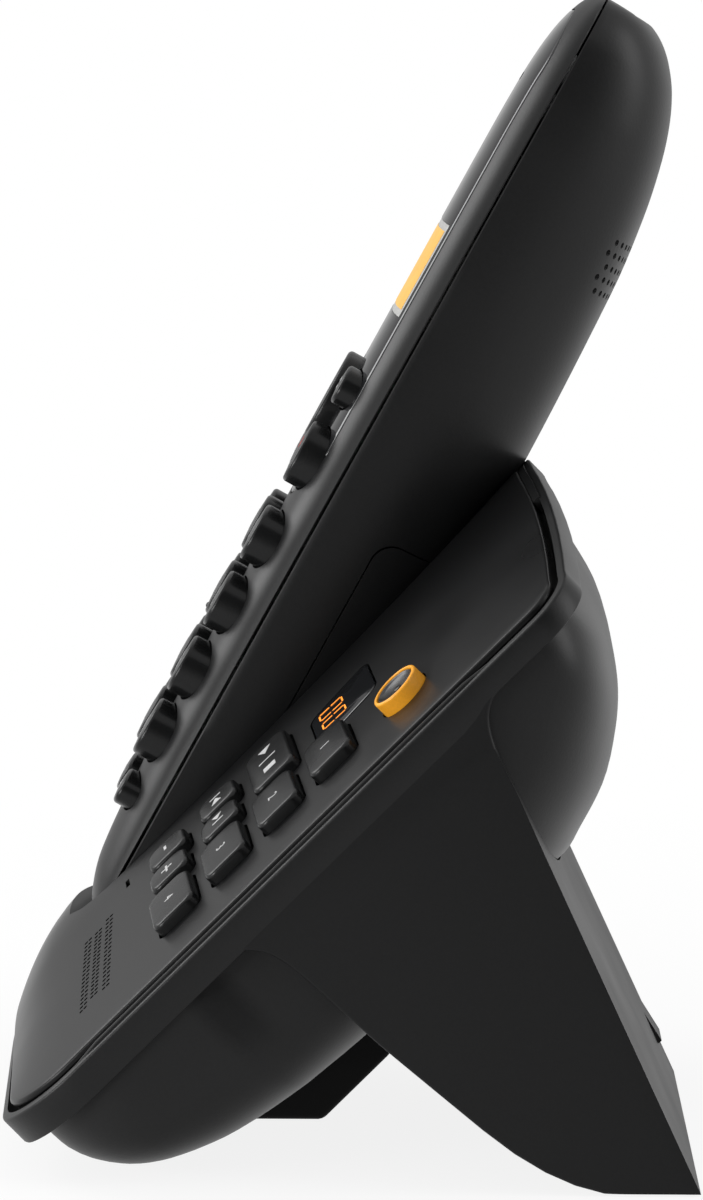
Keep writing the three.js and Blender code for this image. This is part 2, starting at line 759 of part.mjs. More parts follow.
function makeStand() {
  const inner = wallShares.map(([y, z]) => [y - wallInnerShare, z]).reverse();
  const wall = sidePlate([...wallShares, ...inner], leftLeg, halfWidth - leftLeg);
  let stand = sidePlate(standShares, halfWidth - standWall, standWall);
  stand = stand.add(wall).add(sidePlate(standShares.slice(3, 13), leftLeg, standWall));
  const floor = pad.height + fitGap;
  const rear = rearWallAt(floor + gusset.wall) - standWall / 2;
  for (const side of [leftLeg, halfWidth - gusset.width]) {
    const front = rear - gusset.length;
    stand = stand.add(rowBox(side, side + gusset.width, front, rear, floor, floor + gusset.wall));
  }
  const hookFace = rearWallAt(hook.bottom);
  const hookTop = hook.bottom + hook.rise;
  const hookFront = hookFace - standWall;
  stand = stand.add(rowBox(leftLeg, leftLeg + hook.length, hookFront, hookFace, hook.bottom, hookTop));
  const table = rowBox(-baseWidth, baseWidth, 0, 2 * standDepth, -overrun, legClear);
  const rimRoom = crownedSlab(-fitGap, overrun, overrun + rimDrop + rimHeight + fitGap);
  stand = stand.subtract(table).subtract(moved(rimRoom, rowFromPlate));
  stand = stand.subtract(moved(bowlSolid(fitGap), rowFromPlate));
  const cornerStart = plateLength - topBow - topRadius;
  const corner = block(baseWidth * 2, deepCut, deepCut * 2, 0, cornerStart + deepCut / 2, 0);
  stand = stand.subtract(moved(corner, rowFromPlate));
  const [roomLeft, roomRight] = [bay.left - bowlWall, leftLeg - fitGap];
  const bayRoom = rowBox(roomLeft, roomRight, bay.front, bay.rear, bay.bottom, bay.top);
  return stand.subtract(bayRoom).subtract(makePedestal(fitGap));
}

function padPlace(side) {
  const rear = rearWallAt(pad.height) - 2 * standWall - pad.length / 2;
  return [side, rear, pad.height / 2];
}

// Build the base

addPiece(plateGroup, 'base_top_cover', makeTopCover(), colours.plate);
addPiece(plateGroup, 'base_lower_shell', makeLowerShell(), colours.shell);
addPiece(plateGroup, 'cradle_well', makeCradle(), colours.well);
addPiece(phone, 'stand', makeStand(), colours.shell);
addPiece(phone, 'front_pedestal', makePedestal(0), colours.well, 0.4);

const padSides = {
  rear_foot_left: leftLeg + standWall + fitGap + pad.width / 2,
  rear_foot_right: halfWidth - standWall - fitGap - pad.width / 2,
};
for (const [name, side] of Object.entries(padSides)) {
  addPiece(phone, name, block(pad.width, pad.length, pad.height, ...padPlace(side)), colours.rubber, 0.9);
}

for (const [name, y] of [['base_screw_lower', post.low], ['base_screw_upper', post.high]]) {
  const seat = postBottom(y) + screw.seat - fitGap;
  const shank = rod(screw.radius, seat - screw.headHeight / 2, seat + screw.length, post.x, y, 10);
  const head = rod(screw.head, seat - screw.headHeight, seat, post.x, y, 16);
  addPiece(plateGroup, name, shank.add(head), colours.steel, 0.35, 1);
}

for (const key of baseKeys) {
  const levels = [-boardDrop + fitGap + keyTravel, -coverWall - fitGap, baseKeyHeight];
  const foot = { width: key.size.width + 2 * keyFlange, length: key.size.length + 2 * keyFlange };
  const cap = keySolid(baseOutline, key.size.width, key.size.length, levels, baseKeyCrown, foot);
  const mesh = addPiece(facetGroup, key.name, cap, colours.key);
  mesh.position.set(-key.s, rowAt(key.row, key.s), 0);
}

function latheSolid(profile, sides) {
  const points = profile.map(([r, z]) => new THREE.Vector2(r, z));
  const geometry = new THREE.LatheGeometry(points, sides);
  geometry.rotateX(Math.PI / 2);
  return solid(geometry);
}

const ringBottom = -boardDrop + fitGap + keyTravel;
const ringSides = 28;
const ringEdge = 0.4;
const capDish = 0.6;
const capRadius = ringKey.bore - fitGap;
const capTop = ringKey.height - fitGap;
const dishShare = 0.75;
const ringProfile = [
  [ringKey.bore, ringBottom],
  [ringKey.radius, ringBottom],
  [ringKey.radius, ringKey.height - ringEdge],
  [ringKey.radius - ringEdge, ringKey.height],
  [ringKey.bore, ringKey.height],
  [ringKey.bore, ringBottom],
];
const capProfile = [
  [0, ringBottom],
  [capRadius, ringBottom],
  [capRadius, capTop],
  [capRadius / 2, capTop - capDish * dishShare],
  [0, capTop - capDish],
];
addPiece(facetGroup, 'locate_key_ring', latheSolid(ringProfile, ringSides), colours.orange, 0.45)
  .position.set(-ringKey.s, ringKey.y, 0);
addPiece(facetGroup, 'locate_key_cap', latheSolid(capProfile, ringSides), colours.key, 0.45)
  .position.set(-ringKey.s, ringKey.y, 0);

const windowOutline = roundedOutline(counter.width, counter.length, counter.radius, counter.lean);
addPiece(facetGroup, 'counter_window', prism(windowOutline, -counterWall, 0), colours.lens, 0.1)
  .position.set(-counter.s, counter.y, 0);
const counterHeight = boardDrop - coverWall - 2 * fitGap;
const counterMiddle = -coverWall - fitGap - counterHeight / 2;
const counterBlock = block(counter.width, counter.length, counterHeight, 0, 0, counterMiddle);
addPiece(facetGroup, 'counter_display', counterBlock, colours.lens, 0.3)
  .position.set(-counter.s, counter.y, 0);
const boardBlock = block(baseBoard.width, baseBoard.length, boardWall, 0, 0, -boardDrop - boardWall / 2);
addPiece(facetGroup, 'base_board', boardBlock, colours.board, 0.5)
  .position.set(-baseBoard.s, baseBoard.y, 0);
const speakerDisc = rod(speaker.radius, -speaker.drop - speaker.height, -speaker.drop, 0, 0, 24);
addPiece(facetGroup, 'base_speaker', speakerDisc, colours.steel, 0.4, 0.6)
  .position.set(-speaker.s, speaker.y, 0);

for (const [name, jack] of [['line_jack', lineJack], ['power_jack', powerJack]]) {
  const [w, h] = [jack.mouthWidth / 2, jack.mouthHeight / 2];
  const front = bay.front - jack.depth + jackBack / 2 + jackBack;
  const mouth = rowBox(jack.x - w, jack.x + w, front, bay.front + overrun, jack.z - h, jack.z + h);
  addPiece(phone, name, jackBox(jack, 0).subtract(mouth), colours.rubber, 0.5);
}

for (const [name, side] of [['charge_pin_left', -1], ['charge_pin_right', 1]]) {
  const out = fitGap - contact.sunk + chargePin.depth;
  const pin = onFoot(chargePin.width, chargePin.length, chargePin.depth, side * contact.x, out);
  addPiece(handsetGroup, name, pin, colours.metal, 0.3, 1);
}

// Build the handset

// Shares of the handset's width
const widthShares = {
  lens: 0.833333,
  lcd: 0.604167,
  numberKey: 0.254167,
  functionKey: 0.229167,
  middleFunctionKey: 0.260417,
  callKey: 0.229167,
  softKey: 0.197917,
  navigationKey: 0.3125,
  column: 0.291667,
  board: 0.9,
  slot: 0.208333,
};

// Shares of the handset's length: places from its top end, and lengths
const lengthShares = {
  earpiece: 0.10241,
  ringer: 0.220482,
  lensTop: 0.025301,
  lensBottom: 0.553614,
  lcdTop: 0.257229,
  lcdBottom: 0.355422,
  softRow: 0.437952,
  navigationRow: 0.457831,
  callRow: 0.512048,
  numberRows: [0.6, 0.672289, 0.743373, 0.812048],
  functionRow: 0.874699,
  numberKey: 0.057229,
  functionKey: 0.033735,
  middleFunctionKey: 0.037349,
  callKey: 0.063855,
  softKey: 0.039759,
  navigationKey: 0.093373,
  boardTop: 0.168675,
  boardBottom: 0.903614,
  doorTop: 0.542169,
  doorBottom: 0.915663,
};

function keySize(name, rise) {
  return { width: handsetWidth * widthShares[name], length: handsetLength * lengthShares[name], rise };
}

const lens = {
  width: handsetWidth * widthShares.lens,
  top: handsetLength * lengthShares.lensTop,
  bottom: handsetLength * lengthShares.lensBottom,
  wall: 1.4,
  radius: 11,
  gap: 0.2,
};
const lcd = {
  top: handsetLength * lengthShares.lcdTop,
  bottom: handsetLength * lengthShares.lcdBottom,
  width: handsetWidth * widthShares.lcd,
  height: 2,
  margin: 2,
};
const highRise = 2.9;
const lowRise = 2.1;
const softRise = 2.2;
const navigationRise = 2.6;
const numberKey = keySize('numberKey', highRise);
const functionKey = keySize('functionKey', lowRise);
const middleFunctionKey = keySize('middleFunctionKey', lowRise);
const callKey = keySize('callKey', highRise);
const softKey = keySize('softKey', softRise);
const navigationKey = {
  ...keySize('navigationKey', navigationRise),
  y: handsetLength * lengthShares.navigationRow,
  gap: 0.6,
  pivot: 2.5,
};
const handsetColumn = handsetWidth * widthShares.column;
const handsetColumns = [-handsetColumn, 0, handsetColumn];
const numberRows = lengthShares.numberRows.map((share) => share * handsetLength);
const functionRow = handsetLength * lengthShares.functionRow;
const callRow = handsetLength * lengthShares.callRow;
const softRow = handsetLength * lengthShares.softRow;
const keyFoot = { wall: 0.7, extra: 1.5, width: 10 };
const board = {
  top: handsetLength * lengthShares.boardTop,
  bottom: handsetLength * lengthShares.boardBottom,
  width: handsetWidth * widthShares.board,
  drop: 0.2,
  wall: 1.6,
};
const keyFootBottom = handsetKeyTravel + fitGap - board.drop;
const keyCrown = 0.9;
const keyNames = ['1', '2', '3', '4', '5', '6', '7', '8', '9', 'star', '0', 'hash'];

const handsetKeys = [];
numberRows.forEach((along, row) => {
  handsetColumns.forEach((x, column) => {
    handsetKeys.push({ name: `number_key_${keyNames[row * 3 + column]}`, x, along, size: numberKey });
  });
});
handsetKeys.push(
  { name: 'function_key_left', x: handsetColumns[0], along: functionRow, size: functionKey },
  { name: 'function_key_middle', x: handsetColumns[1], along: functionRow, size: middleFunctionKey },
  { name: 'function_key_right', x: handsetColumns[2], along: functionRow, size: functionKey },
  { name: 'call_key', x: handsetColumns[0], along: callRow, size: callKey },
  { name: 'end_key', x: handsetColumns[2], along: callRow, size: callKey },
  { name: 'soft_key_left', x: handsetColumns[0], along: softRow, size: softKey },
  { name: 'soft_key_right', x: handsetColumns[2], along: softRow, size: softKey },
);

const handsetSkin = handsetSolid(0);
const frontRoom = handsetWidth;
const frontHalf = block(handsetWidth * 2, handsetLength * 3, frontRoom, 0, 0, frontRoom / 2 + fitGap / 2);
const backHalf = block(handsetWidth * 2, handsetLength * 3, frontRoom, 0, 0, -frontRoom / 2 - fitGap / 2);
const keyOutline = (w, l) => ovalOutline(w, l);

const lensSteps = 5;

function lensPrism(grow) {
  const [width, length] = [lens.width + 2 * grow, lens.bottom - lens.top + 2 * grow];
  const outline = roundedOutline(width, length, lens.radius + grow, 0, lensSteps);
  return prism(outline, 0, frontRoom, 0, -(lens.top + lens.bottom) / 2);
}

function handsetKeyHoles(target) {
  let result = target;
  for (const key of handsetKeys) {
    const outline = keyOutline(key.size.width + 2 * fitGap, key.size.length + 2 * fitGap);
    result = result.subtract(prism(outline, 0, frontRoom, key.x, -key.along));
  }
  const { width, length, gap, y } = navigationKey;
  const rocker = keyOutline(width + 2 * gap, length + 2 * gap);
  return result.subtract(prism(rocker, 0, frontRoom, 0, -y));
}

const earpiece = {
  y: handsetLength * lengthShares.earpiece,
  radius: 7,
  height: 3,
  slotWidth: handsetWidth * widthShares.slot,
  slotLength: 1.4,
  drop: 1.2,
};

function makeLens() {
  const body = lensPrism(0).intersect(handsetSkin).subtract(handsetSolid(-lens.wall));
  const slot = block(earpiece.slotWidth, earpiece.slotLength, frontRoom, 0, -earpiece.y, frontRoom / 2);
  return handsetKeyHoles(body).subtract(slot);
}

function makeFrontShell() {
  let shell = handsetSkin.intersect(frontHalf).subtract(handsetSolid(-handsetFrontWall));
  shell = shell.subtract(lensPrism(lens.gap).subtract(handsetSolid(-lens.wall - lens.gap)));
  const middle = -(lcd.top + lcd.bottom) / 2;
  shell = shell.subtract(block(lcd.width, lcd.bottom - lcd.top, frontRoom, 0, middle, frontRoom / 2));
  const slot = block(earpiece.slotWidth, earpiece.slotLength, frontRoom, 0, -earpiece.y, frontRoom / 2);
  return handsetKeyHoles(shell).subtract(slot);
}

const door = {
  top: handsetLength * lengthShares.doorTop,
  bottom: handsetLength * lengthShares.doorBottom,
  side: 10,
  radius: 3.5,
  wall: 1.6,
};
const cell = { radius: 5.25, length: 44.5, spacing: 11.2 };
const cellFloor = { drop: 3.2, wall: 1.4, margin: 3 };

// The battery door's outline from the side, grown by grow: y along the handset, z below the parting plane
function doorSpace(grow) {
  const length = door.bottom - door.top + 2 * grow;
  const height = handsetBack;
  const outline = roundedOutline(length, 2 * height, door.radius);
  const slab = prism(outline, -handsetWidth, handsetWidth);
  const side = geometryOf(slab).applyMatrix4(new THREE.Matrix4().makeBasis(
    new THREE.Vector3(0, 1, 0),
    new THREE.Vector3(0, 0, 1),
    new THREE.Vector3(1, 0, 0),
  ));
  return solid(side.translate(0, -(door.top + door.bottom) / 2, -door.side - height + grow));
}

function makeDoor() {
  return doorSpace(-fitGap).intersect(handsetSkin).subtract(handsetSolid(-door.wall));
}

function makeBackShell() {
  let shell = handsetSkin.intersect(backHalf).subtract(handsetSolid(-handsetBackWall));
  const opening = doorSpace(0);
  shell = shell.subtract(opening);
  const length = door.bottom - door.top - 2 * cellFloor.margin;
  const [middle, drop] = [(door.top + door.bottom) / 2, cellFloor.drop + cellFloor.wall / 2];
  const floor = block(handsetWidth, length, cellFloor.wall, 0, -middle, -drop);
  shell = shell.add(floor.intersect(handsetSolid(-handsetBackWall / 2)));
  for (const side of [-1, 1]) {
    const [width, length] = [contact.width + 2 * fitGap, contact.length + 2 * fitGap];
    const depth = contact.sunk + contact.wall + fitGap;
    shell = shell.subtract(onFoot(width, length, overrun + depth, side * contact.x, overrun));
  }
  return shell;
}

addPiece(handsetGroup, 'handset_front_shell', makeFrontShell(), colours.plate);
addPiece(handsetGroup, 'handset_back_shell', makeBackShell(), colours.shell);
addPiece(handsetGroup, 'battery_cover', makeDoor(), colours.shell);
addPiece(handsetGroup, 'display_lens', makeLens(), colours.lens, 0.08);

for (const key of handsetKeys) {
  const skin = frontHeight(key.x, key.along);
  const levels = [keyFootBottom, keyFootBottom + keyFoot.wall, skin + key.size.rise];
  const foot = { width: Math.min(keyFoot.width, key.size.width), length: key.size.length + keyFoot.extra };
  const cap = keySolid(keyOutline, key.size.width, key.size.length, levels, keyCrown, foot);
  addPiece(handsetGroup, key.name, cap, colours.key).position.set(key.x, -key.along, 0);
}

const rockerTop = frontHeight(0, navigationKey.y) + navigationKey.rise;
const rockerSkirt = handsetFront - handsetFrontWall;
const rockerLevels = [rockerSkirt - keyCrown, rockerSkirt, rockerTop];
const { width: rockerWidth, length: rockerLength } = navigationKey;
let rocker = keySolid(keyOutline, rockerWidth, rockerLength, rockerLevels, keyCrown, navigationKey);
rocker = rocker.add(rod(navigationKey.pivot, fitGap / 2, rockerSkirt, 0, 0, 12));
addPiece(handsetGroup, 'navigation_key', rocker, colours.key).position.set(0, -navigationKey.y, 0);

const boardMiddle = (board.top + board.bottom) / 2;
const boardDepth = board.drop + board.wall / 2;
const boardLength = board.bottom - board.top;
const boardPlate = block(board.width, boardLength, board.wall, 0, -boardMiddle, -boardDepth);
addPiece(handsetGroup, 'handset_board', boardPlate, colours.board, 0.5);

const lcdLength = lcd.bottom - lcd.top + 2 * lcd.margin;
const lcdMiddle = (lcd.top + lcd.bottom) / 2;
const lcdHeight = fitGap - board.drop + lcd.height / 2;
const lcdBlock = block(lcd.width, lcdLength, lcd.height, 0, -lcdMiddle, lcdHeight);
addPiece(handsetGroup, 'lcd_module', lcdBlock, colours.amber, 0.3);

const roundSides = 20;
const receiverTop = handsetFront - handsetFrontWall - earpiece.drop;
const receiverBottom = receiverTop - earpiece.height;
const receiver = rod(earpiece.radius, receiverBottom, receiverTop, 0, -earpiece.y, roundSides);
addPiece(handsetGroup, 'earpiece_receiver', receiver, colours.steel, 0.4, 0.6);

const ringer = { y: handsetLength * lengthShares.ringer, radius: 9, height: 3.5, inset: 0.7 };
const ringerSkin = handsetSection(ringer.y - ringer.radius).back - handsetBackWall - fitGap;
const ringerBack = ringer.inset - ringerSkin;
const ringerDisc = rod(ringer.radius, ringerBack, ringerBack + ringer.height, 0, -ringer.y, roundSides);
addPiece(handsetGroup, 'ringer_speaker', ringerDisc, colours.steel, 0.4, 0.6);

for (const [name, side] of [['battery_cell_left', -1], ['battery_cell_right', 1]]) {
  const geometry = new THREE.CylinderGeometry(cell.radius, cell.radius, cell.length, 20);
  const x = (side * cell.spacing) / 2;
  const y = -(door.top + door.bottom) / 2;
  const z = -cellFloor.drop - cellFloor.wall - fitGap - cell.radius;
  addPiece(handsetGroup, name, solid(geometry.translate(x, y, z)), colours.cell, 0.4, 0.4);
}

for (const [name, side] of [['handset_contact_left', -1], ['handset_contact_right', 1]]) {
  const plate = onFoot(contact.width, contact.length, contact.wall, side * contact.x, -contact.sunk);
  addPiece(handsetGroup, name, plate, colours.metal, 0.3, 1);
}

// The origin is the middle of the phone's footprint, on the table
const bounds = new THREE.Box3().setFromObject(phone, true);
phone.position.set(-(bounds.min.x + bounds.max.x) / 2, -(bounds.min.y + bounds.max.y) / 2, -bounds.min.z);

export default phone;
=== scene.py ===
"""A cordless phone: a handset that leans in the cradle of an answering-machine base.
Shapes are made in millimetres and put into the frame in metres."""

import math

import bpy
import numpy as np
from mathutils import Matrix, Vector


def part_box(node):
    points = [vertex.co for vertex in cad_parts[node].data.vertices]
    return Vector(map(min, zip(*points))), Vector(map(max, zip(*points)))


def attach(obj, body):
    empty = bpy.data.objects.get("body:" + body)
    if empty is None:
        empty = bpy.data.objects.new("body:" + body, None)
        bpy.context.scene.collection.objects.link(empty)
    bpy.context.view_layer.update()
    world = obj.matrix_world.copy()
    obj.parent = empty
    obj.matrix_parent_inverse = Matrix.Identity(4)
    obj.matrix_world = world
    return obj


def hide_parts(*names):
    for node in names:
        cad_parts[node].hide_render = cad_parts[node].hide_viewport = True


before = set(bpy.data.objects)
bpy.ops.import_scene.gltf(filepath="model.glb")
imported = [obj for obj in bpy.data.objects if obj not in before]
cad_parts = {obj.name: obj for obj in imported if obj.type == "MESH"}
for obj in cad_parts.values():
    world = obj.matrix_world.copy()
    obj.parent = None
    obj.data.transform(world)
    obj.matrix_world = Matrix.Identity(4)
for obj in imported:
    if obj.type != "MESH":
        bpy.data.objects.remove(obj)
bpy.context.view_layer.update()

MM = 0.001

# Sizes of the base
base_width = 122
plate_length = 121.5
plate_slope = 44.7
nose_height = 7.793
nose_reach = 1.422
nose_radius = 15
top_radius = 8
top_bow = 6.2
facet_tilt_angle = 11.03
facet_width = 51
nose_fade = 22
nose_fade_share = 0.58
bowl_depth = 33.5
stand_depth = 101.3
stand_height = 92.1

# Sizes of the handset
handset_length = 166
handset_width = 48
handset_front = 5.8
handset_back = 24.7
handset_lean = 61
handset_top = (-19, 88.8, 173.6)

# Walls and fits
fit_gap = 0.3
cradle_gap = 0.8
cover_wall = 2.4
cover_inset = 2.9
cover_lip = 0.9
lip_inset = 2.6
bowl_wall = 2
bowl_inset = 2.3
belly_inset = 1
bowl_end_inset = 3.45
rim_drop = 0.7
rim_height = 5
rim_wall = 1.4
rim_edge = 0.45
rim_edge_share = 0.3
rim_middle = -rim_drop - rim_height / 2
rim_bottom = -rim_drop - rim_height
edge_radius = 0.4
lip_chamfer = 0.12
rim_thinning = 1.25
thinning_start = 91
thinning_end = 98
cradle_wall = 2
front_wall = 2.6
back_wall = 1.8
overrun = 5
deep = 70
open_front = 60
least_step = 0.05
same_point = 0.01
smooth_angle = 32

half_width = base_width / 2
pedestal_front_share = 0.2962
row_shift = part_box("front_pedestal")[0].y / MM - pedestal_front_share * stand_depth


def turned(angle, axis):
    return Matrix.Rotation(math.radians(angle), 4, axis)


def offset(x, y, z):
    return Matrix.Translation((x, y, z))


row_place = offset(0, row_shift, 0)
plate_place = row_place @ offset(0, -nose_reach, nose_height) @ turned(plate_slope, "X")
facet_in_plate = offset(half_width, 0, 0) @ turned(facet_tilt_angle, "Y")
facet_place = plate_place @ facet_in_plate
handset_place = row_place @ offset(*handset_top) @ turned(handset_lean, "X")
plate_from_handset = plate_place.inverted() @ handset_place
plate_from_row = plate_place.inverted() @ row_place


# Shapes


def linked(name, data):
    thing = bpy.data.objects.new(name, data)
    bpy.context.scene.collection.objects.link(thing)
    return thing


def shape(points, faces):
    """A loose object in millimetres, for cuts and joins before it becomes a piece."""
    mesh = bpy.data.meshes.new("shape")
    mesh.from_pydata([tuple(p) for p in points], [], faces)
    return linked("shape", mesh)


def drop(thing):
    bpy.data.objects.remove(thing)


def moved(thing, matrix):
    thing.data.transform(matrix)
    return thing


def evaluated(thing):
    graph = bpy.context.evaluated_depsgraph_get()
    made = bpy.data.meshes.new_from_object(thing.evaluated_get(graph))
    thing.modifiers.clear()
    thing.data = made
    return thing


def combined(thing, other, how, keep=False):
    modifier = thing.modifiers.new("join", "BOOLEAN")
    modifier.operation = how
    modifier.solver = "MANIFOLD"
    modifier.object = other
    evaluated(thing)
    if not keep:
        drop(other)
    return thing


def cut(thing, other, keep=False):
    return combined(thing, other, "DIFFERENCE", keep)


def joined(thing, other):
    return combined(thing, other, "UNION")


def common(thing, other):
    return combined(thing, other, "INTERSECT")


def copied(thing):
    return shape([v.co for v in thing.data.vertices], [list(p.vertices) for p in thing.data.polygons])


def gathered(things):
    """Separate shapes as one loose object."""
    points, faces = [], []
    for thing in things:
        first = len(points)
        points += [v.co.copy() for v in thing.data.vertices]
        faces += [[first + i for i in p.vertices] for p in thing.data.polygons]
        drop(thing)
    return shape(points, faces)


def outward(faces, points):
    """The faces, turned over if the closed surface they make is inside out."""
    volume = 0.0
    for face in faces:
        a = Vector(points[face[0]])
        for j in range(1, len(face) - 1):
            volume += a.dot(Vector(points[face[j]]).cross(Vector(points[face[j + 1]])))
    return faces if volume > 0 else [list(reversed(face)) for face in faces]


def loft(rings, flat_ends=False):
    """A closed shape through rings of points, with a fan or one flat face over each end."""
    count = len(rings[0])
    points = [Vector(p) for ring in rings for p in ring]
    faces = []
    for r in range(len(rings) - 1):
        for i in range(count):
            j = (i + 1) % count
            faces.append([r * count + i, r * count + j, (r + 1) * count + j, (r + 1) * count + i])
    for r, turn in ((0, True), (len(rings) - 1, False)):
        if flat_ends:
            end = list(range(r * count, r * count + count))
            faces.append(end[::-1] if turn else end)
            continue
        middle = sum((Vector(p) for p in rings[r]), Vector()) / count
        points.append(middle)
        for i in range(count):
            pair = [r * count + i, r * count + (i + 1) % count]
            faces.append([len(points) - 1] + (pair[::-1] if turn else pair))
    return shape(points, outward(faces, points))


def layered(rows_of, height, layers):
    """A closed sheet through layers of (inset, lift), from its top to its underside. Only the two
    ends are filled. rows_of gives rows of (x, y), and height is the sheet's height there."""
    points, faces, loops = [], [], []

    def put(x, y, lift):
        points.append((x, y, height(x, y) + lift))
        return len(points) - 1

    for level, (inset, lift) in enumerate(layers):
        rows = rows_of(inset)
        last, side = len(rows) - 1, len(rows[0]) - 1
        around = [(0, c) for c in range(side + 1)] + [(r, side) for r in range(1, last + 1)]
        around += [(last, c) for c in range(side - 1, -1, -1)] + [(r, 0) for r in range(last - 1, 0, -1)]
        if level in (0, len(layers) - 1):
            ids = [[put(x, y, lift) for x, y in row] for row in rows]
            for r in range(last):
                for c in range(side):
                    face = [ids[r][c], ids[r][c + 1], ids[r + 1][c + 1], ids[r + 1][c]]
                    faces.append(face if level == 0 else face[::-1])
            loops.append([ids[r][c] for r, c in around])
        else:
            loops.append([put(*rows[r][c], lift) for r, c in around])
    for upper, lower in zip(loops, loops[1:]):
        for i in range(len(upper)):
            j = (i + 1) % len(upper)
            faces.append([upper[i], lower[i], lower[j], upper[j]])
    return shape(points, faces)


def prism(outline, bottom, top):
    return loft([[(x, y, bottom) for x, y in outline], [(x, y, top) for x, y in outline]])


def grown(width, length, gap=fit_gap):
    return width + 2 * gap, length + 2 * gap


def bar(x, y, width, length):
    left, right, low, high = x - width / 2, x + width / 2, y - length / 2, y + length / 2
    return [(left, low), (right, low), (right, high), (left, high)]


def block(width, length, height, x, y, z):
    return moved(prism(bar(0, 0, width, length), -height / 2, height / 2), offset(x, y, z))


def row_box(left, right, front, rear, bottom, top, grow=0):
    middle = ((left + right) / 2, (front + rear) / 2, (bottom + top) / 2)
    size = (right - left + 2 * grow, rear - front + 2 * grow, top - bottom + 2 * grow)
    return block(*size, *middle)


def circle(radius, sides=48):
    angles = [2 * math.pi * i / sides for i in range(sides)]
    return [(radius * math.cos(angle), radius * math.sin(angle)) for angle in angles]


def quarter(steps):
    """Sine and cosine at even turns over a quarter circle."""
    angles = [math.pi / 2 * i / steps for i in range(steps + 1)]
    return [(math.sin(angle), math.cos(angle)) for angle in angles]


def rod(radius, bottom, top, x, y, sides=32):
    return moved(prism(circle(radius, sides), bottom, top), offset(x, y, 0))


def rounded(width, length, radius, lean=0, steps=8):
    """A rounded rectangle about the origin."""
    points = []
    hx, hy = width / 2 - radius, length / 2 - radius
    for corner, (sx, sy) in enumerate(((1, 1), (-1, 1), (-1, -1), (1, -1))):
        for i in range(steps + 1):
            angle = (corner + i / steps) * math.pi / 2
            y = sy * hy + radius * math.sin(angle)
            points.append((sx * hx + radius * math.cos(angle) + lean * y / length, y))
    return points


def oval(width, length, power=2.5, sides=48):
    points = []
    for i in range(sides):
        angle = 2 * math.pi * (i + 0.5) / sides
        c, s = math.cos(angle), math.sin(angle)
        x = math.copysign(abs(c) ** (2 / power), c)
        y = math.copysign(abs(s) ** (2 / power), s)
        points.append((x * width / 2, y * length / 2))
    return points


def lathe(profile, sides=96):
    """A round solid through (radius, height) points, from the axis out and back, or closed on itself."""
    rings = [[(r * c, r * s, z) for c, s in circle(1, sides)] for r, z in profile if r > 0]
    points = [Vector(p) for ring in rings for p in ring]
    faces = []
    closed = all(r > 0 for r, z in profile)
    pairs = len(rings) if closed else len(rings) - 1
    for r in range(pairs):
        n = (r + 1) % len(rings)
        for i in range(sides):
            j = (i + 1) % sides
            faces.append([r * sides + i, r * sides + j, n * sides + j, n * sides + i])
    if not closed:
        for ring, z, turn in ((0, profile[0][1], True), (len(rings) - 1, profile[-1][1], False)):
            points.append(Vector((0, 0, z)))
            for i in range(sides):
                pair = [ring * sides + i, ring * sides + (i + 1) % sides]
                faces.append([len(points) - 1] + (pair[::-1] if turn else pair))
    return shape(points, outward(faces, points))


def beveled(thing, width, segments=4, flat_angle=0.4):
    """The shape with its flat areas as single faces and its sharp edges rounded."""
    flat = thing.modifiers.new("flat", "DECIMATE")
    flat.decimate_type = "DISSOLVE"
    flat.angle_limit = math.radians(flat_angle)
    edge = thing.modifiers.new("edge", "BEVEL")
    edge.width = width
    edge.segments = segments
    edge.limit_method = "ANGLE"
    edge.angle_limit = math.radians(smooth_angle)
    return evaluated(thing)


def piece(thing, name, material, body, place, *replaced, angle=smooth_angle):
    """Names a shape, puts it into the frame and lets it ride on its body."""
    mesh = thing.data
    mesh.transform(Matrix.Scale(MM, 4) @ place)
    mesh.shade_smooth()
    mesh.set_sharp_from_angle(angle=math.radians(angle))
    mesh.materials.clear()
    mesh.materials.append(material)
    thing.name = name
    mesh.name = name
    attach(thing, body)
    if replaced:
        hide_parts(*replaced)
    return thing


# Finishes

# Sizes of the noise: slow waves in a moulding, clouds in a gloss, smears on it
wave_scale = 45
cloud_scale = 90
smear_scale = 30
metal_scale = 600
glow_scale = 300
# How far tones and gloss wander, as shares of the tone and the roughness
cloud_tone_shares = (0.9, 1.1)
smear_gloss_share = 1.7
metal_tone_share = 0.85
metal_gloss_shares = (0.8, 1.2)
glow_tone_share = 0.92
glow_specular = 0.1
glow_roughness = 0.4
grain_roughness = 0.6
wave_depth_share = 4
wave_strength = 0.3


def new_material(name, slot):
    material = bpy.data.materials.new(name)
    material.use_nodes = True
    material["slot"] = slot
    shader = material.node_tree.nodes["Principled BSDF"]
    return material, material.node_tree, shader


def node(tree, kind, **inputs):
    """A new shader node. Each input is given as an output to link, or as a value."""
    made = tree.nodes.new("ShaderNode" + kind)
    for name, given in inputs.items():
        socket = made.inputs[name.replace("_", " ")]
        if isinstance(given, bpy.types.NodeSocket):
            tree.links.new(given, socket)
        else:
            socket.default_value = given
    return made


def noise(tree, scale, detail=2.0, roughness=0.5):
    place = tree.nodes.get("place") or node(tree, "TexCoord")
    place.name = "place"
    vector = place.outputs["Object"]
    made = node(tree, "TexNoise", Scale=scale, Detail=detail, Roughness=roughness, Vector=vector)
    return made.outputs["Fac"]


def map_range(tree, value, low, high, start=0.3, end=0.7):
    made = node(tree, "MapRange", Value=value, From_Min=start, From_Max=end, To_Min=low, To_Max=high)
    return made.outputs["Result"]


def spread(tree, texture, low, high, shader):
    """Lets the shader's roughness wander with a texture, from low to high."""
    tree.links.new(map_range(tree, texture, low, high), shader.inputs["Roughness"])


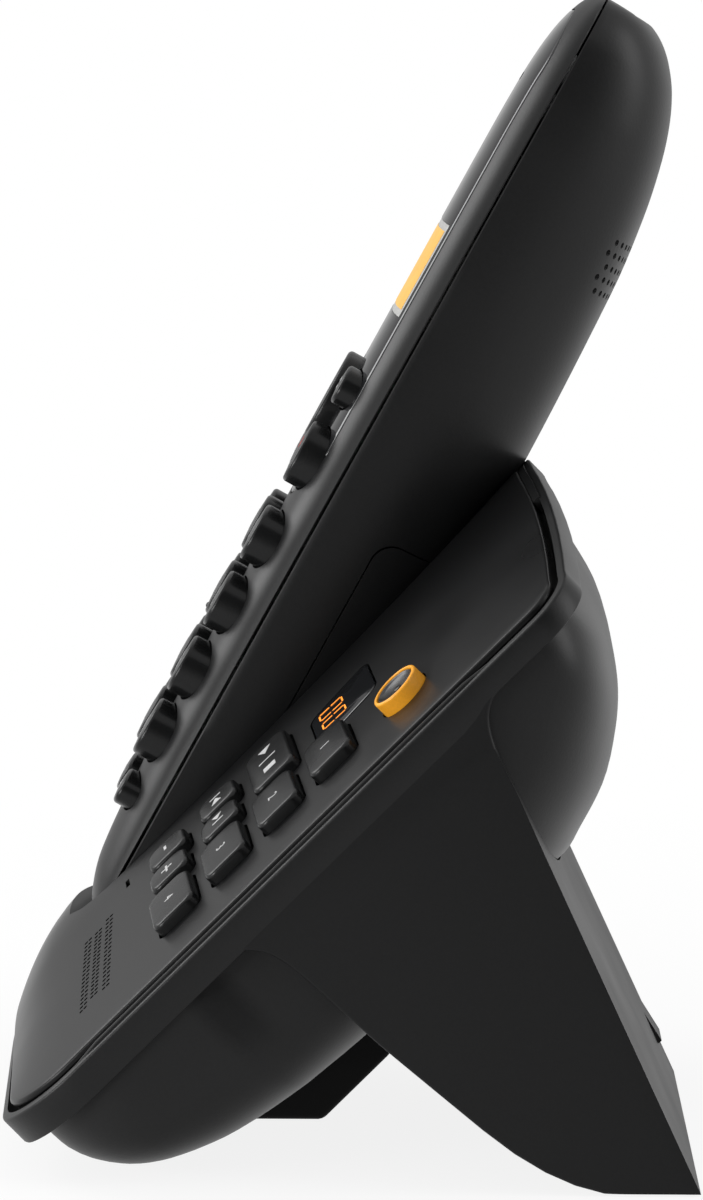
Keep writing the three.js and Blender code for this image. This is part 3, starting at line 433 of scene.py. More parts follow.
def colours(tree, texture, dark, light, socket, start=0.35, end=0.65):
    ramp = node(tree, "ValToRGB", Fac=texture)
    for stop, place, tone in zip(ramp.color_ramp.elements, (start, end), (dark, light)):
        stop.position = place
        stop.color = (*tone, 1)
    tree.links.new(ramp.outputs["Color"], socket)


def bump(tree, texture, depth, strength=1.0):
    return node(tree, "Bump", Strength=strength, Distance=depth * MM, Height=texture)


def toned(tone, share):
    return [c * share for c in tone]


def plastic(name, slot, tone, roughness, grain, grain_scale, specular, spots=0.12, gloss_spread=0.03):
    """Moulded plastic: a fine spark-eroded grain over slow waves of gloss."""
    material, tree, shader = new_material(name, slot)
    shader.inputs["Specular IOR Level"].default_value = specular
    slow = noise(tree, wave_scale)
    fine = noise(tree, grain_scale, roughness=grain_roughness)
    colours(tree, fine, toned(tone, 1 - spots), toned(tone, 1 + spots), shader.inputs["Base Color"])
    spread(tree, slow, roughness - gloss_spread, roughness + gloss_spread, shader)
    if grain:
        waves = bump(tree, slow, grain * wave_depth_share, wave_strength)
        rough = bump(tree, fine, grain)
        tree.links.new(waves.outputs["Normal"], rough.inputs["Normal"])
        tree.links.new(rough.outputs["Normal"], shader.inputs["Normal"])
    return material


def glossy(name, slot, tone, roughness):
    material, tree, shader = new_material(name, slot)
    slow = noise(tree, cloud_scale)
    smear = noise(tree, smear_scale, detail=4)
    dark, light = (toned(tone, share) for share in cloud_tone_shares)
    colours(tree, slow, dark, light, shader.inputs["Base Color"])
    spread(tree, smear, roughness, roughness * smear_gloss_share, shader)
    return material


def metal(name, slot, tone, roughness):
    material, tree, shader = new_material(name, slot)
    shader.inputs["Metallic"].default_value = 1.0
    fine = noise(tree, metal_scale, detail=3)
    colours(tree, fine, toned(tone, metal_tone_share), tone, shader.inputs["Base Color"])
    low, high = metal_gloss_shares
    spread(tree, fine, roughness * low, roughness * high, shader)
    return material


def glowing(name, slot, tone, strength):
    """A lit display: its own colour and a little light of the same colour."""
    material, tree, shader = new_material(name, slot)
    shader.inputs["Specular IOR Level"].default_value = glow_specular
    shader.inputs["Roughness"].default_value = glow_roughness
    shader.inputs["Emission Strength"].default_value = strength
    slow = noise(tree, glow_scale)
    for socket in ("Base Color", "Emission Color"):
        colours(tree, slow, toned(tone, glow_tone_share), tone, shader.inputs[socket])
    return material


# Plastics: tone, roughness, depth of the grain in mm, its scale, specular level and share of spots
plate_finish = plastic("plate_plastic", "plate_plastic", (0.0066, 0.0067, 0.0069), 0.3, 0.008, 2300, 0.185)
front_finish = plastic("front_plastic", "plate_plastic", (0.0075, 0.0076, 0.0078), 0.4, 0.014, 2100, 0.25)
shell_finish = plastic("shell_plastic", "shell_plastic", (0.006, 0.0061, 0.0063), 0.42, 0.016, 1900, 0.25)
stand_finish = plastic("stand_plastic", "shell_plastic", (0.0055, 0.0056, 0.0058), 0.5, 0.010, 2600, 0.2)
# This darker plastic is painted shade: the cradle well and the front pedestal sit in shadow under the base,
# and get half the tone of the other black plastics. The counter's display behind its window uses it too.
painted_shade_plastic = plastic("well_plastic", "well_plastic", (0.003, 0.003, 0.003), 0.6, 0.008, 2600, 0.12)
key_finish = plastic("key_plastic", "key_plastic", (0.009, 0.0092, 0.0094), 0.26, 0.006, 3200, 0.2)
dish_finish = plastic("dish_plastic", "key_plastic", (0.012, 0.0125, 0.013), 0.3, 0.003, 3200, 0.35)
lens_finish = glossy("lens", "lens", (0.009, 0.0095, 0.0105), 0.05)
orange_finish = plastic("orange_plastic", "orange_ring", (0.95, 0.4, 0.02), 0.42, 0.004, 3000, 0.4, 0.04)
amber_finish = glowing("amber_display", "display", (0.70, 0.40, 0.09), 0.34)
border_finish = plastic("display_border", "display", (0.42, 0.42, 0.41), 0.5, 0.0, 2600, 0.3)
digit_finish = glowing("digit_light", "display", (1.0, 0.30, 0.03), 0.7)
legend_finish = plastic("legend_paint", "key_plastic", (0.5, 0.5, 0.5), 0.5, 0.0, 2600, 0.3)
red_finish = plastic("red_paint", "key_plastic", (0.42, 0.06, 0.05), 0.5, 0.0, 2600, 0.3)
rubber_finish = plastic("rubber", "rubber", (0.011, 0.011, 0.011), 0.8, 0.02, 1600, 0.25)
socket_finish = plastic("socket_plastic", "socket", (0.013, 0.013, 0.013), 0.4, 0.004, 2600, 0.45)
steel_finish = metal("steel", "steel", (0.45, 0.45, 0.46), 0.34)
gold_finish = metal("gold", "contact_metal", (0.75, 0.56, 0.26), 0.22)
board_finish = glossy("board_lacquer", "board", (0.014, 0.075, 0.032), 0.2)
cell_finish = metal("cell_sleeve", "cell", (0.28, 0.29, 0.3), 0.4)


# The base's surfaces, in the plate's own frame: x across, y up the slope, z out

facet_tilt = math.tan(math.radians(facet_tilt_angle))
facet_edge = half_width - facet_width
facet_rise = facet_tilt * facet_width
far_width = base_width - facet_width
far_drop = (facet_rise + facet_tilt * far_width) / far_width**2


def crown(x, y):
    """The height of the plate's surface: a flat facet on the right, a round ridge to its left, and
    both fading towards the nose."""
    past = facet_edge - x
    height = facet_tilt * (half_width - x)
    if past > 0:
        height = facet_rise + facet_tilt * past - far_drop * past**2
    fade = 1 - nose_fade_share * (1 - y / nose_fade) ** 2 if y < nose_fade else 1
    return height * fade


def corner_places(inset):
    top = top_radius - inset
    top_end = plate_length - inset
    corner_top = top_end - top_bow * (1 - top_radius / half_width) ** 2
    return top, top_end, corner_top, corner_top - top


def plate_half(y, inset):
    half = half_width - inset
    nose = nose_radius - inset
    top, top_end, corner_top, corner_start = corner_places(inset)
    if y < inset + nose:
        return half - nose + math.sqrt(max(nose**2 - (inset + nose - y) ** 2, 0))
    if y <= corner_start:
        return half
    if y <= corner_top:
        return half - top + math.sqrt(max(top**2 - (y - corner_start) ** 2, 0))
    return half_width * math.sqrt(max(top_end - y, 0) / top_bow)


nose_steps = 18
middle_steps = 36
corner_steps = 14
bow_shares = [0.75, 0.62, 0.5, 0.38, 0.25, 0.12]
across_steps = 64


def plate_rows(inset):
    nose = nose_radius - inset
    top, top_end, corner_top, corner_start = corner_places(inset)
    stations = [inset + nose * (1 - c) for s, c in quarter(nose_steps)]
    straight = corner_start - inset - nose
    stations += [inset + nose + straight * i / middle_steps for i in range(1, middle_steps)]
    stations += [corner_start + top * s for s, c in quarter(corner_steps)]
    stations += [top_end - top_bow * share**2 for share in bow_shares]
    rows = []
    for y in stations:
        half = plate_half(y, inset)
        rows.append([(half * (2 * i / across_steps - 1), y) for i in range(across_steps + 1)])
    return rows


def plate_sheet(*layers):
    return layered(plate_rows, crown, layers)


def round_edge(inset, lift, radius, steps=4):
    """Layers of a rounded upper edge, at a place drawn in by inset."""
    return [(inset + radius * (1 - s), lift - radius * (1 - c)) for s, c in quarter(steps)]


def slow_table(table, column, at):
    """A monotone curve through a table's rows, at the given shares."""
    xs = np.array([row[0] for row in table], float)
    ys = np.array([row[column] for row in table], float)
    gaps = np.diff(xs)
    slopes = np.diff(ys) / gaps
    turns = np.zeros(len(xs))
    for i in range(1, len(xs) - 1):
        if slopes[i - 1] * slopes[i] > 0:
            w, v = 2 * gaps[i] + gaps[i - 1], gaps[i] + 2 * gaps[i - 1]
            turns[i] = (w + v) / (w / slopes[i - 1] + v / slopes[i])
    turns[0], turns[-1] = slopes[0], slopes[-1]
    k = np.clip(np.searchsorted(xs, at) - 1, 0, len(gaps) - 1)
    t = (at - xs[k]) / gaps[k]
    h = gaps[k]
    first = (1 + 2 * t) * (1 - t) ** 2 * ys[k] + t * (1 - t) ** 2 * h * turns[k]
    return first + t * t * (3 - 2 * t) * ys[k + 1] + t * t * (t - 1) * h * turns[k + 1]


def refined(table, per_row, reach=0.03):
    """More shares between a table's rows, more of them where the rows lie far apart."""
    shares = []
    for low, high in zip(table, table[1:]):
        count = max(per_row, int((high[0] - low[0]) / reach))
        shares += [low[0] + (high[0] - low[0]) * i / count for i in range(count)]
    return np.array(shares + [table[-1][0]])


# Shares of the plate's length and the bowl's depth, from the nose to the top end
bowl_shares = [
    (0, 0.361), (0.027, 0.492), (0.062, 0.61), (0.106, 0.7), (0.179, 0.797), (0.282, 0.863),
    (0.393, 0.91), (0.513, 0.935), (0.615, 0.985), (0.713, 1), (0.752, 0.964), (0.812, 0.893),
    (0.875, 0.752), (0.912, 0.636), (0.945, 0.484), (0.974, 0.307), (0.99, 0.1),
]
bowl_powers = (6, 3)
belly_end_share = 0.3
bulge_start_share = 0.6
bowl_top = 20


def resampled(line, count):
    """count points at even steps along a line of (x, z) points."""
    line = np.asarray(line)
    steps = np.hypot(*np.diff(line, axis=0).T)
    run = np.concatenate([[0], np.cumsum(steps)])
    at = np.linspace(0, run[-1], count)
    return np.stack([np.interp(at, run, line[:, 0]), np.interp(at, run, line[:, 1])], 1)


def power_arc(half, depth, power, count, dense=600):
    """The upper half of a rounded section, from -half to half."""
    turn = math.pi * (1 - np.cos(np.linspace(0, math.pi, dense))) / 2
    c, v = -np.cos(turn), np.sin(turn)
    x = np.sign(c) * np.abs(c) ** (2 / power) * half
    z = np.abs(v) ** (2 / power) * depth
    return resampled(np.stack([x, z], 1), count)


coarse_bowl = {"sides": 40, "per_row": 2}


def bowl_shape(grow, sides=72, per_row=4):
    """The whole bowl, grown by grow: full at its front, and rounder from the belly to the bulge."""
    rings = []
    shares = refined(bowl_shares, per_row)
    depths = slow_table(bowl_shares, 1, shares)
    reach = plate_length / 2 - bowl_end_inset + grow
    for along, share in zip(shares, depths):
        y = plate_length / 2 + (2 * along - 1) * reach
        past = min(max((along - belly_end_share) / (bulge_start_share - belly_end_share), 0), 1)
        power = bowl_powers[0] + (bowl_powers[1] - bowl_powers[0]) * past
        inset = belly_inset if along < belly_end_share else bowl_inset
        half = plate_half(along * plate_length, 0) - inset + grow
        arc = power_arc(half, share * bowl_depth + grow, power, sides + 1)
        rings.append([(half, y, bowl_top), (-half, y, bowl_top)] + [(x, y, -z) for x, z in arc])
    return loft(rings)


# The handset's surfaces, in its own frame: x across, y up its length from the top end, z out of its front

# Shares of the handset's length, half width, front height and back depth, from the top end to the foot
handset_shares = [
    (0, 0.58, 0.17, 0.28), (0.004, 0.69, 0.34, 0.365), (0.014, 0.79, 0.53, 0.475), (0.03, 0.875, 0.7, 0.58),
    (0.049, 0.93, 0.83, 0.668), (0.077, 0.97, 0.93, 0.755), (0.108, 0.992, 0.98, 0.82), (0.163, 1, 1, 0.895),
    (0.241, 1, 1, 0.953), (0.482, 1, 1, 1), (0.723, 1, 1, 0.992), (0.813, 1, 0.98, 0.951),
    (0.892, 1, 0.89, 0.81), (0.946, 0.983, 0.77, 0.587), (0.982, 0.9, 0.47, 0.324), (1, 0.73, 0.13, 0.065),
]
front_powers = (3.9, 1.6)
back_power = 2.6
# How the very ends close: shares of the end section, at shares of the handset's length from the end
end_shares = [(0, 0.35), (0.0004, 0.6), (0.0012, 0.8), (0.0026, 0.93)]


def handset_sections(grow, per_row=4):
    """y, half width, front height and back depth of each section."""
    shares = refined(handset_shares, per_row)
    wide, high, low = (slow_table(handset_shares, c, shares) for c in (1, 2, 3))
    sections = []
    for along, w, h, b in zip(shares, wide, high, low):
        y = -(along * handset_length + grow * (2 * along - 1))
        front = max(h * handset_front + grow, fit_gap)
        back = max(b * handset_back + grow, fit_gap)
        sections.append((y, w * handset_width / 2 + grow, front, back))
    return sections


def front_height(x, along):
    share = np.array([min(max(along / handset_length, 0), 1)])
    half = float(slow_table(handset_shares, 1, share)[0]) * handset_width / 2
    high = float(slow_table(handset_shares, 2, share)[0]) * handset_front
    across = min(abs(x) / half, 1)
    return high * (1 - across ** front_powers[0]) ** (1 / front_powers[1])


def front_arc(half, front, count, dense=500):
    u = np.sin(np.linspace(-math.pi / 2, math.pi / 2, dense))
    z = front * np.clip(1 - np.abs(u) ** front_powers[0], 0, 1) ** (1 / front_powers[1])
    return resampled(np.stack([u * half, z], 1), count)


inner_handset = {"sides": 30, "per_row": 2}


def handset_shape(grow, wall_height=0, sides=44, per_row=4):
    """The whole handset, grown by grow. wall_height puts straight walls of that height in front."""
    rings = []
    for y, half, front, back in handset_sections(grow, per_row):
        arc = power_arc(half, back, back_power, sides + 1)
        under = [(-x, y, -z) for x, z in arc]
        if wall_height:
            over = [(-half, y, wall_height), (half, y, wall_height)]
        else:
            over = [(x, y, z) for x, z in front_arc(half, front, sides + 1)[1:-1]]
        rings.append(under + over)
    return loft(rings)


seam = {"half_gap": 0.17, "chamfer": 0.14}
arc_steps = 400


def end_rounded(sections):
    """Sections with the flat first one drawn in, so that the top end closes in a small round."""
    y, half, front, back = sections[0]
    drop_down = end_shares[-1][0] * handset_length
    extra = []
    for along, share in end_shares:
        extra.append((y - along * handset_length, half * share, front * share, back * share))
    following = [s for s in sections if s[0] < y - drop_down - least_step]
    return extra + following


def half_shell_skin(side, sides=72, per_row=5):
    """The solid front (side 1) or back (side -1) of the handset, with a small chamfer along the seam."""
    gap, chamfer = seam["half_gap"], seam["chamfer"]
    rings = []
    for y, half, front, back in end_rounded(handset_sections(0, per_row)):
        if side > 0:
            arc = front_arc(half, front, arc_steps)
        else:
            arc = power_arc(half, back, back_power, arc_steps)
        arc = arc[arc[:, 1] > gap + chamfer]
        ends = abs(arc[0][0])
        arc = resampled(arc, sides)
        ring = [(ends - chamfer, gap), (-ends + chamfer, gap), *arc]
        rings.append([(x, y, side * z) for x, z in ring])
    return loft(rings)


# Controls on the base, on the flat facet: s is the distance in from the right edge

row_tilt = 0.07
near_column = 20.8
next_column = 33.1
far_column = 42
near_row = 39.9
row_pitch = 10.87
near_key = (13, 8.2)
small_key = (7.4, 7.6)
play_key = (16.3, 8.4)
base_key_height = 2
base_key_radius = 1.9
base_key_hole_radius = 1.6
base_key_edge = 0.55
base_key_sag = 0.28
base_number_size = 2.6
ring_key = {"s": 17, "y": 86.6, "radius": 4.1, "bore": 3.5, "height": 2.3, "edge": 0.35, "bore_edge": 0.2}
counter = {"s": 36.6, "y": 77, "width": 13.6, "length": 12.3, "lean": -2.3, "radius": 2.2}
board_drop = 6.6
key_travel = 1
key_bottom_level = -board_drop + fit_gap + key_travel
key_flange = 0.45
flange_radius = 1.6


def row_at(row, s):
    return near_row + row_pitch * row + row_tilt * (s - near_column)


base_keys = {
    "menu_key_1": (near_column, 3, near_key),
    "menu_key_2": (near_column, 2, near_key),
    "menu_key_3": (near_column, 1, near_key),
    "menu_key_4": (near_column, 0, near_key),
    "play_stop_key": ((next_column + far_column) / 2, 2, play_key),
    "next_key": (next_column, 1, small_key),
    "previous_key": (far_column, 1, small_key),
    "volume_up_key": (next_column, 0, small_key),
    "volume_down_key": (far_column, 0, small_key),
}

# Keys on the handset: x, distance from the top end, width, length, rise
number_key = (12.2, 9.5, 2.9)
function_key = (11, 5.6, 2.1)
middle_function_key = (12.5, 6.2, 2.1)
call_key = (11, 10.6, 2.9)
soft_key = (9.5, 6.6, 2.2)
columns = (-14, 0, 14)
number_rows = (99.6, 111.6, 123.4, 134.8)
function_row = 145.2
call_row = 85
soft_row = 72.7
navigation = {"width": 15, "length": 15.5, "rise": 2.6, "along": 76, "gap": 0.6}
rocker = {"edge": 0.7, "sag": 0.1, "skirt": 0.9}
handset_key_edge = 0.55
handset_key_sag = 0.5
handset_number_size = 5.2
key_names = ("1", "2", "3", "4", "5", "6", "7", "8", "9", "star", "0", "hash")
key_bottom = 0.9

handset_keys = {}
for n, key_name in enumerate(key_names):
    handset_keys[f"number_key_{key_name}"] = (columns[n % 3], number_rows[n // 3], *number_key)
handset_keys["function_key_left"] = (columns[0], function_row, *function_key)
handset_keys["function_key_middle"] = (columns[1], function_row, *middle_function_key)
handset_keys["function_key_right"] = (columns[2], function_row, *function_key)
handset_keys["call_key"] = (columns[0], call_row, *call_key)
handset_keys["end_key"] = (columns[2], call_row, *call_key)
handset_keys["soft_key_left"] = (columns[0], soft_row, *soft_key)
handset_keys["soft_key_right"] = (columns[2], soft_row, *soft_key)


# The base

cradle_space = moved(handset_shape(cradle_gap, open_front), plate_from_handset)


def facet_hole(outline, s, y):
    """A cutter right through the cover, square to the facet."""
    hole = prism(outline, -cover_wall - overrun, overrun)
    return moved(hole, facet_in_plate @ offset(-s, y, 0))


# Bands of the loudspeaker's grille: x and y of both ends
grille_bands = (((18.1, 27.4), (43.9, 24.4)), ((19.4, 24.9), (42.7, 22.0)), ((19.3, 22.7), (44.2, 19.6)))
grille = {"rows": 18, "pair": 0.86, "width": 0.68, "length": 0.72, "radius_share": 0.35}
slit = {"x": 12.3, "y": 32, "width": 3, "length": 0.8}


def grille_slots():
    slots = []
    hole = rounded(grille["width"], grille["length"], grille["width"] * grille["radius_share"], steps=3)
    for (x0, y0), (x1, y1) in grille_bands:
        for i in range(grille["rows"]):
            share = i / (grille["rows"] - 1)
            x, y = x0 + (x1 - x0) * share, y0 + (y1 - y0) * share
            for side in (-0.5, 0.5):
                slots.append(facet_hole(hole, half_width - x, y + side * grille["pair"]))
    return gathered(slots)


def make_top_cover():
    layers = round_edge(lip_inset, 0, edge_radius)
    layers += [(lip_inset, lip_chamfer - cover_lip), (lip_inset + lip_chamfer, -cover_lip)]
    layers += [(cover_inset, -cover_lip), (cover_inset, -cover_wall)]
    cover = plate_sheet(*layers)
    holes = []
    for s, row, (width, length) in base_keys.values():
        hole = rounded(*grown(width, length), base_key_hole_radius)
        holes.append(facet_hole(hole, s, row_at(row, s)))
    window = rounded(*grown(counter["width"], counter["length"]), counter["radius"], counter["lean"])
    holes.append(facet_hole(window, counter["s"], counter["y"]))
    holes.append(facet_hole(circle(ring_key["radius"] + fit_gap, sides=96), ring_key["s"], ring_key["y"]))
    slot_height = crown(slit["x"], slit["y"])
    holes.append(block(slit["width"], slit["length"], 2 * cover_wall, slit["x"], slit["y"], slot_height))
    cut(cover, gathered(holes))
    cut(cover, grille_slots())
    return cut(cover, cradle_space, keep=True)


piece(make_top_cover(), "top_cover_skin", plate_finish, "base", plate_place, "base_top_cover")

# The bay of the sockets, and the sockets: x, z, width, height, depth
bay = {"left": -50, "right": -24, "front": 62, "rear": 92, "bottom": 21.9, "top": 39.9}
jacks = ((-32.5, 33.3, 12, 10, 12), (-44, 33.3, 9, 10, 12))
jack_overlap = 1
post = {"x": 11.3, "bore": 1.5, "rows": (60, 86)}
screw = {"head": 2.7, "seat": 2.4, "boss": 3.6, "boss_height": 4}

# The groove between the rim and the cover: a low wall in it along the right side, with sunk ends,
# and a band in it at the top end
strip = {"inner": 1.4, "outer": 0.95, "low": 15, "high": 101, "top": -0.25, "root": -2.2, "chamfer": 0.15}
strip_sink = 0.55
strip_steps = 60
sinking_steps = 4
sill = {"reach": 17, "inner": 2.5, "outer": 1.2, "top": -0.4, "low": -2.9, "length": 12}


def bowl_floor(y):
    share = (y - bowl_end_inset) / (plate_length - 2 * bowl_end_inset)
    return -bowl_depth * float(np.interp(share, *np.array(bowl_shares).T))


def thinned(slab):
    """Lifts a slab's underside near the plate's top end, where the rim is thinner."""
    for vertex in slab.data.vertices:
        x, y, z = vertex.co
        if z - crown(x, y) < rim_middle:
            share = min(max((y - thinning_start) / (thinning_end - thinning_start), 0), 1)
            vertex.co.z += rim_thinning * share * share * (3 - 2 * share)
    return slab


def groove_strip():
    rings = []
    for i in range(strip_steps + 1):
        y = strip["low"] + (strip["high"] - strip["low"]) * i / strip_steps
        sink = strip_sink * max(0, 1 - min(i, strip_steps - i) / sinking_steps)
        top = strip["top"] - sink
        section = [(strip["inner"], strip["root"]), (strip["inner"], top)]
        section.append((strip["outer"] + strip["chamfer"], top))
        section += [(strip["outer"], strip["top"] - strip["chamfer"] - sink), (strip["outer"], strip["root"])]
        edge = plate_half(y, 0)
        rings.append([(edge - inset, y, crown(edge - inset, y) + lift) for inset, lift in section])
    return loft(rings)


def groove_sill():
    band = plate_sheet((sill["outer"], sill["top"]), (sill["outer"], sill["low"]))
    cut(band, plate_sheet((sill["inner"], overrun), (sill["inner"], -deep)))
    end = plate_length - sill["length"] / 2
    common(band, block(2 * sill["reach"], sill["length"], 2 * deep, 0, end, 0))
    return cut(band, cradle_space, keep=True)


def make_lower_shell():
    under = plate_sheet((0, rim_middle), (0, rim_middle - deep))
    layers = round_edge(0, -rim_drop, edge_radius) + [(0, rim_bottom + rim_edge)]
    layers += [(rim_edge * rim_edge_share, rim_bottom + rim_edge * rim_edge_share), (rim_edge, rim_bottom)]
    shell = joined(common(bowl_shape(0), under), thinned(plate_sheet(*layers)))
    outer = copied(shell)
    cut(shell, bowl_shape(-bowl_wall, **coarse_bowl))
    cut(shell, plate_sheet((rim_wall, overrun), (rim_wall, -cover_wall - fit_gap)))
    joined(shell, common(moved(row_box(**bay, grow=bowl_wall), plate_from_row), outer))
    cut(shell, moved(row_box(**bay), plate_from_row))
    for x, z, width, height, depth in jacks:
        rear = bay["front"] + jack_overlap
        sides = (x - width / 2, x + width / 2)
        levels = (z - height / 2, z + height / 2)
        cut(shell, moved(row_box(*sides, rear - depth, rear, *levels, fit_gap), plate_from_row))
    for y in post["rows"]:
        skin = bowl_floor(y)
        boss = rod(screw["boss"], skin + fit_gap, skin + screw["boss_height"], post["x"], y)
        joined(shell, common(boss, bowl_shape(0, **coarse_bowl)))
        cut(shell, rod(post["bore"], skin - overrun, skin + overrun, post["x"], y))
        cut(shell, rod(screw["head"] + fit_gap, skin - overrun, skin + screw["seat"], post["x"], y))
    joined(shell, groove_strip())
    return joined(shell, groove_sill())


piece(make_lower_shell(), "lower_shell_skin", shell_finish, "base", plate_place, "base_lower_shell")

contact = {"x": 7, "along": 160, "width": 4, "length": 5, "wall": 0.6, "sunk": 0.2}
pin = {"width": 2.4, "length": 3, "depth": 4.4}
foot_rows = (handset_shares[13], handset_shares[14])
foot_slope = math.atan2(
    (foot_rows[0][3] - foot_rows[1][3]) * handset_back, (foot_rows[1][0] - foot_rows[0][0]) * handset_length
)


def on_foot(width, length, height, x, out):
    """A block that lies on the handset's foot, standing out of its skin by out."""
    share = contact["along"] / handset_length
    half, depth = (float(np.interp(share, *np.array(handset_shares).T[[0, c]])) for c in (1, 3))
    across = abs(x) / (half * handset_width / 2)
    skin = depth * handset_back * (1 - across**back_power) ** (1 / back_power)
    box = block(width, length, height, 0, 0, height / 2 - out)
    turn = Matrix.Rotation(-foot_slope, 4, "X")
    return moved(box, offset(x, -contact["along"], -skin) @ turn)


def make_well():
    outer = moved(handset_shape(cradle_gap + cradle_wall, open_front), plate_from_handset)
    inset = cover_inset + bowl_wall
    room = plate_sheet((inset, -cover_wall - fit_gap), (inset, -cover_wall - fit_gap - deep))
    well = common(common(outer, room), bowl_shape(-bowl_wall - fit_gap, **coarse_bowl))
    cut(well, cradle_space)
    size = grown(pin["width"], pin["length"])
    for side in (-1, 1):
        hole = on_foot(*size, 2 * pin["depth"], side * contact["x"], 2 * pin["depth"])
        cut(well, moved(hole, plate_from_handset))
    return well


# The cradle well takes the darker plastic, which paints the shade under the handset.
piece(make_well(), "cradle_well_skin", painted_shade_plastic, "base", plate_place, "cradle_well")

# The stand: a right-hand panel flush with the rim, a left leg and the rear wall between them
stand_wall = 2
left_leg = -21
leg_clear = 0.4
stand_shares = [
    (0.3314, 0.3889), (0.362, 0.3908), (0.3877, 0.383), (0.4219, 0.3561), (0.5242, 0.2537),
    (0.5549, 0.2243), (0.8006, 0), (1, 0), (0.7735, 0.5417), (0.7359, 0.6347),
    (0.7013, 0.7111), (0.69, 0.765), (0.7036, 0.805), (0.724, 0.821), (0.765, 0.868),
    (0.7814, 0.9608), (0.4946, 0.6866),
]
wall_inner_share = 0.024
stand_edge = 0.5
web = {"left": 50, "right": half_width, "front": 52, "rear": 84, "bottom": 46, "top": 84}
web_set_back = 0.5
gusset = {"length": 12, "width": 11, "wall": 2}
pad_height = 1.3
hook = {"length": 9, "bottom": 7, "top": 12, "out": 0.6, "tip": 0.4}
blunt_turn = 0.55
bend_reach = 30


def curved(points, steps=5):
    """A closed line of straight runs, with its blunt turns as smooth curves."""
    line = []
    count = len(points)
    for i in range(count):
        a, b, c = (np.array(points[(i + k) % count], float) for k in (-1, 0, 1))
        before, after = np.linalg.norm(b - a), np.linalg.norm(c - b)
        cosine = float((b - a) @ (c - b)) / (before * after)
        if cosine < blunt_turn:
            line.append(tuple(b))
            continue
        start = b + (a - b) * 0.5 * min(1, bend_reach / before)
        end = b + (c - b) * 0.5 * min(1, bend_reach / after)
        for k in range(steps + 1):
            t = k / steps
            point = (1 - t) ** 2 * start + 2 * t * (1 - t) * b + t * t * end
            if not line or np.linalg.norm(point - line[-1]) > same_point:
                line.append(tuple(point))
    if np.linalg.norm(np.subtract(line[0], line[-1])) < same_point:
        line.pop()
    return line


def drawn_in(points, inset):
    """A closed line moved inwards by inset, along the mean of its neighbours' normals."""
    points = np.array(points, float)
    before = points - np.roll(points, 1, 0)
    after = np.roll(points, -1, 0) - points
    before /= np.linalg.norm(before, axis=1)[:, None]
    after /= np.linalg.norm(after, axis=1)[:, None]
    normals = np.stack([-before[:, 1] - after[:, 1], before[:, 0] + after[:, 0]], 1)
    normals /= 1 + np.sum(before * after, axis=1)[:, None]
    area = np.sum(points[:, 0] * np.roll(points[:, 1], -1) - np.roll(points[:, 0], -1) * points[:, 1])
    return points + normals * math.copysign(inset, area)


def rounded_plate(points, left, thickness, steps=4):
    """A side plate whose two rims are rounded."""
    turns = quarter(steps)
    levels = [(left + stand_edge * (1 - s), stand_edge * (1 - c)) for s, c in reversed(turns)]
    levels += [(left + thickness - stand_edge * (1 - s), stand_edge * (1 - c)) for s, c in turns]
    return loft([[(x, y, z) for y, z in drawn_in(points, inset)] for x, inset in levels], flat_ends=True)


def side_plate(points, left, thickness):
    rings = [[(x, y, z) for y, z in points] for x in (left, left + thickness)]
    return loft(rings, flat_ends=True)


def stand_size(shares):
    return [(y * stand_depth, z * stand_height) for y, z in shares]


def rear_wall_at(height):
    share = height / (stand_shares[8][1] * stand_height)
    return (1 + (stand_shares[8][0] - 1) * share) * stand_depth


pedestal_shares = [
    (pedestal_front_share, 0), (0.4432, 0), (0.5489, 0.1162), (0.5035, 0.2063), (0.3949, 0.1737),
    (pedestal_front_share, 0.0651),
]
pedestal = {"left": -52, "right": 13.4, "edge": 0.8}


def pedestal_shape(grow):
    points = stand_size(pedestal_shares)
    return side_plate(points, pedestal["left"] - grow, pedestal["right"] - pedestal["left"] + 2 * grow)


def hook_wedge():
    low, high = rear_wall_at(hook["bottom"]), rear_wall_at(hook["top"])
    out, root = low + hook["out"], stand_wall / 2
    outline = [(low - root, hook["bottom"]), (out - hook["tip"], hook["bottom"])]
    outline += [(out, hook["bottom"] + hook["tip"]), (high, hook["top"]), (high - root, hook["top"])]
    return side_plate(outline, left_leg, hook["length"])


def make_stand():
    rear = stand_shares[7:11]
    inner = [(y - wall_inner_share, z) for y, z in reversed(rear)]
    outline = curved(stand_size(stand_shares))
    panel = rounded_plate(outline, half_width - stand_wall, stand_wall)
    stand = joined(panel, side_plate(stand_size(rear + inner), left_leg, half_width - left_leg))
    joined(stand, rounded_plate(curved(stand_size(stand_shares[3:13])), left_leg, stand_wall))
    floor = pad_height + fit_gap
    back = rear_wall_at(floor + gusset["wall"]) - stand_wall / 2
    for side in (left_leg, half_width - gusset["width"]):
        reach = (side, side + gusset["width"], back - gusset["length"], back)
        joined(stand, row_box(*reach, floor, floor + gusset["wall"]))
    joined(stand, hook_wedge())
    cut(stand, row_box(-base_width, base_width, 0, 2 * stand_depth, -overrun, leg_clear))
    filler = side_plate(outline, web["left"], half_width - stand_wall / 2 - web["left"])
    joined(stand, moved(common(filler, row_box(**web)), offset(0, -web_set_back, 0)))
    row_from_plate = plate_from_row.inverted()
    room = thinned(plate_sheet((-fit_gap, overrun), (-fit_gap, rim_bottom + rim_edge)))
    cut(stand, moved(room, row_from_plate))
    cut(stand, moved(bowl_shape(fit_gap), row_from_plate))
    start = plate_length - top_bow - top_radius
    cut(stand, moved(block(base_width * 2, deep, deep * 2, 0, start + deep / 2, 0), row_from_plate))
    cut(stand, row_box(**{**bay, "left": bay["left"] - bowl_wall, "right": left_leg - fit_gap}))
    return cut(stand, pedestal_shape(fit_gap))


piece(make_stand(), "stand_skin", stand_finish, "base", row_place, "stand")


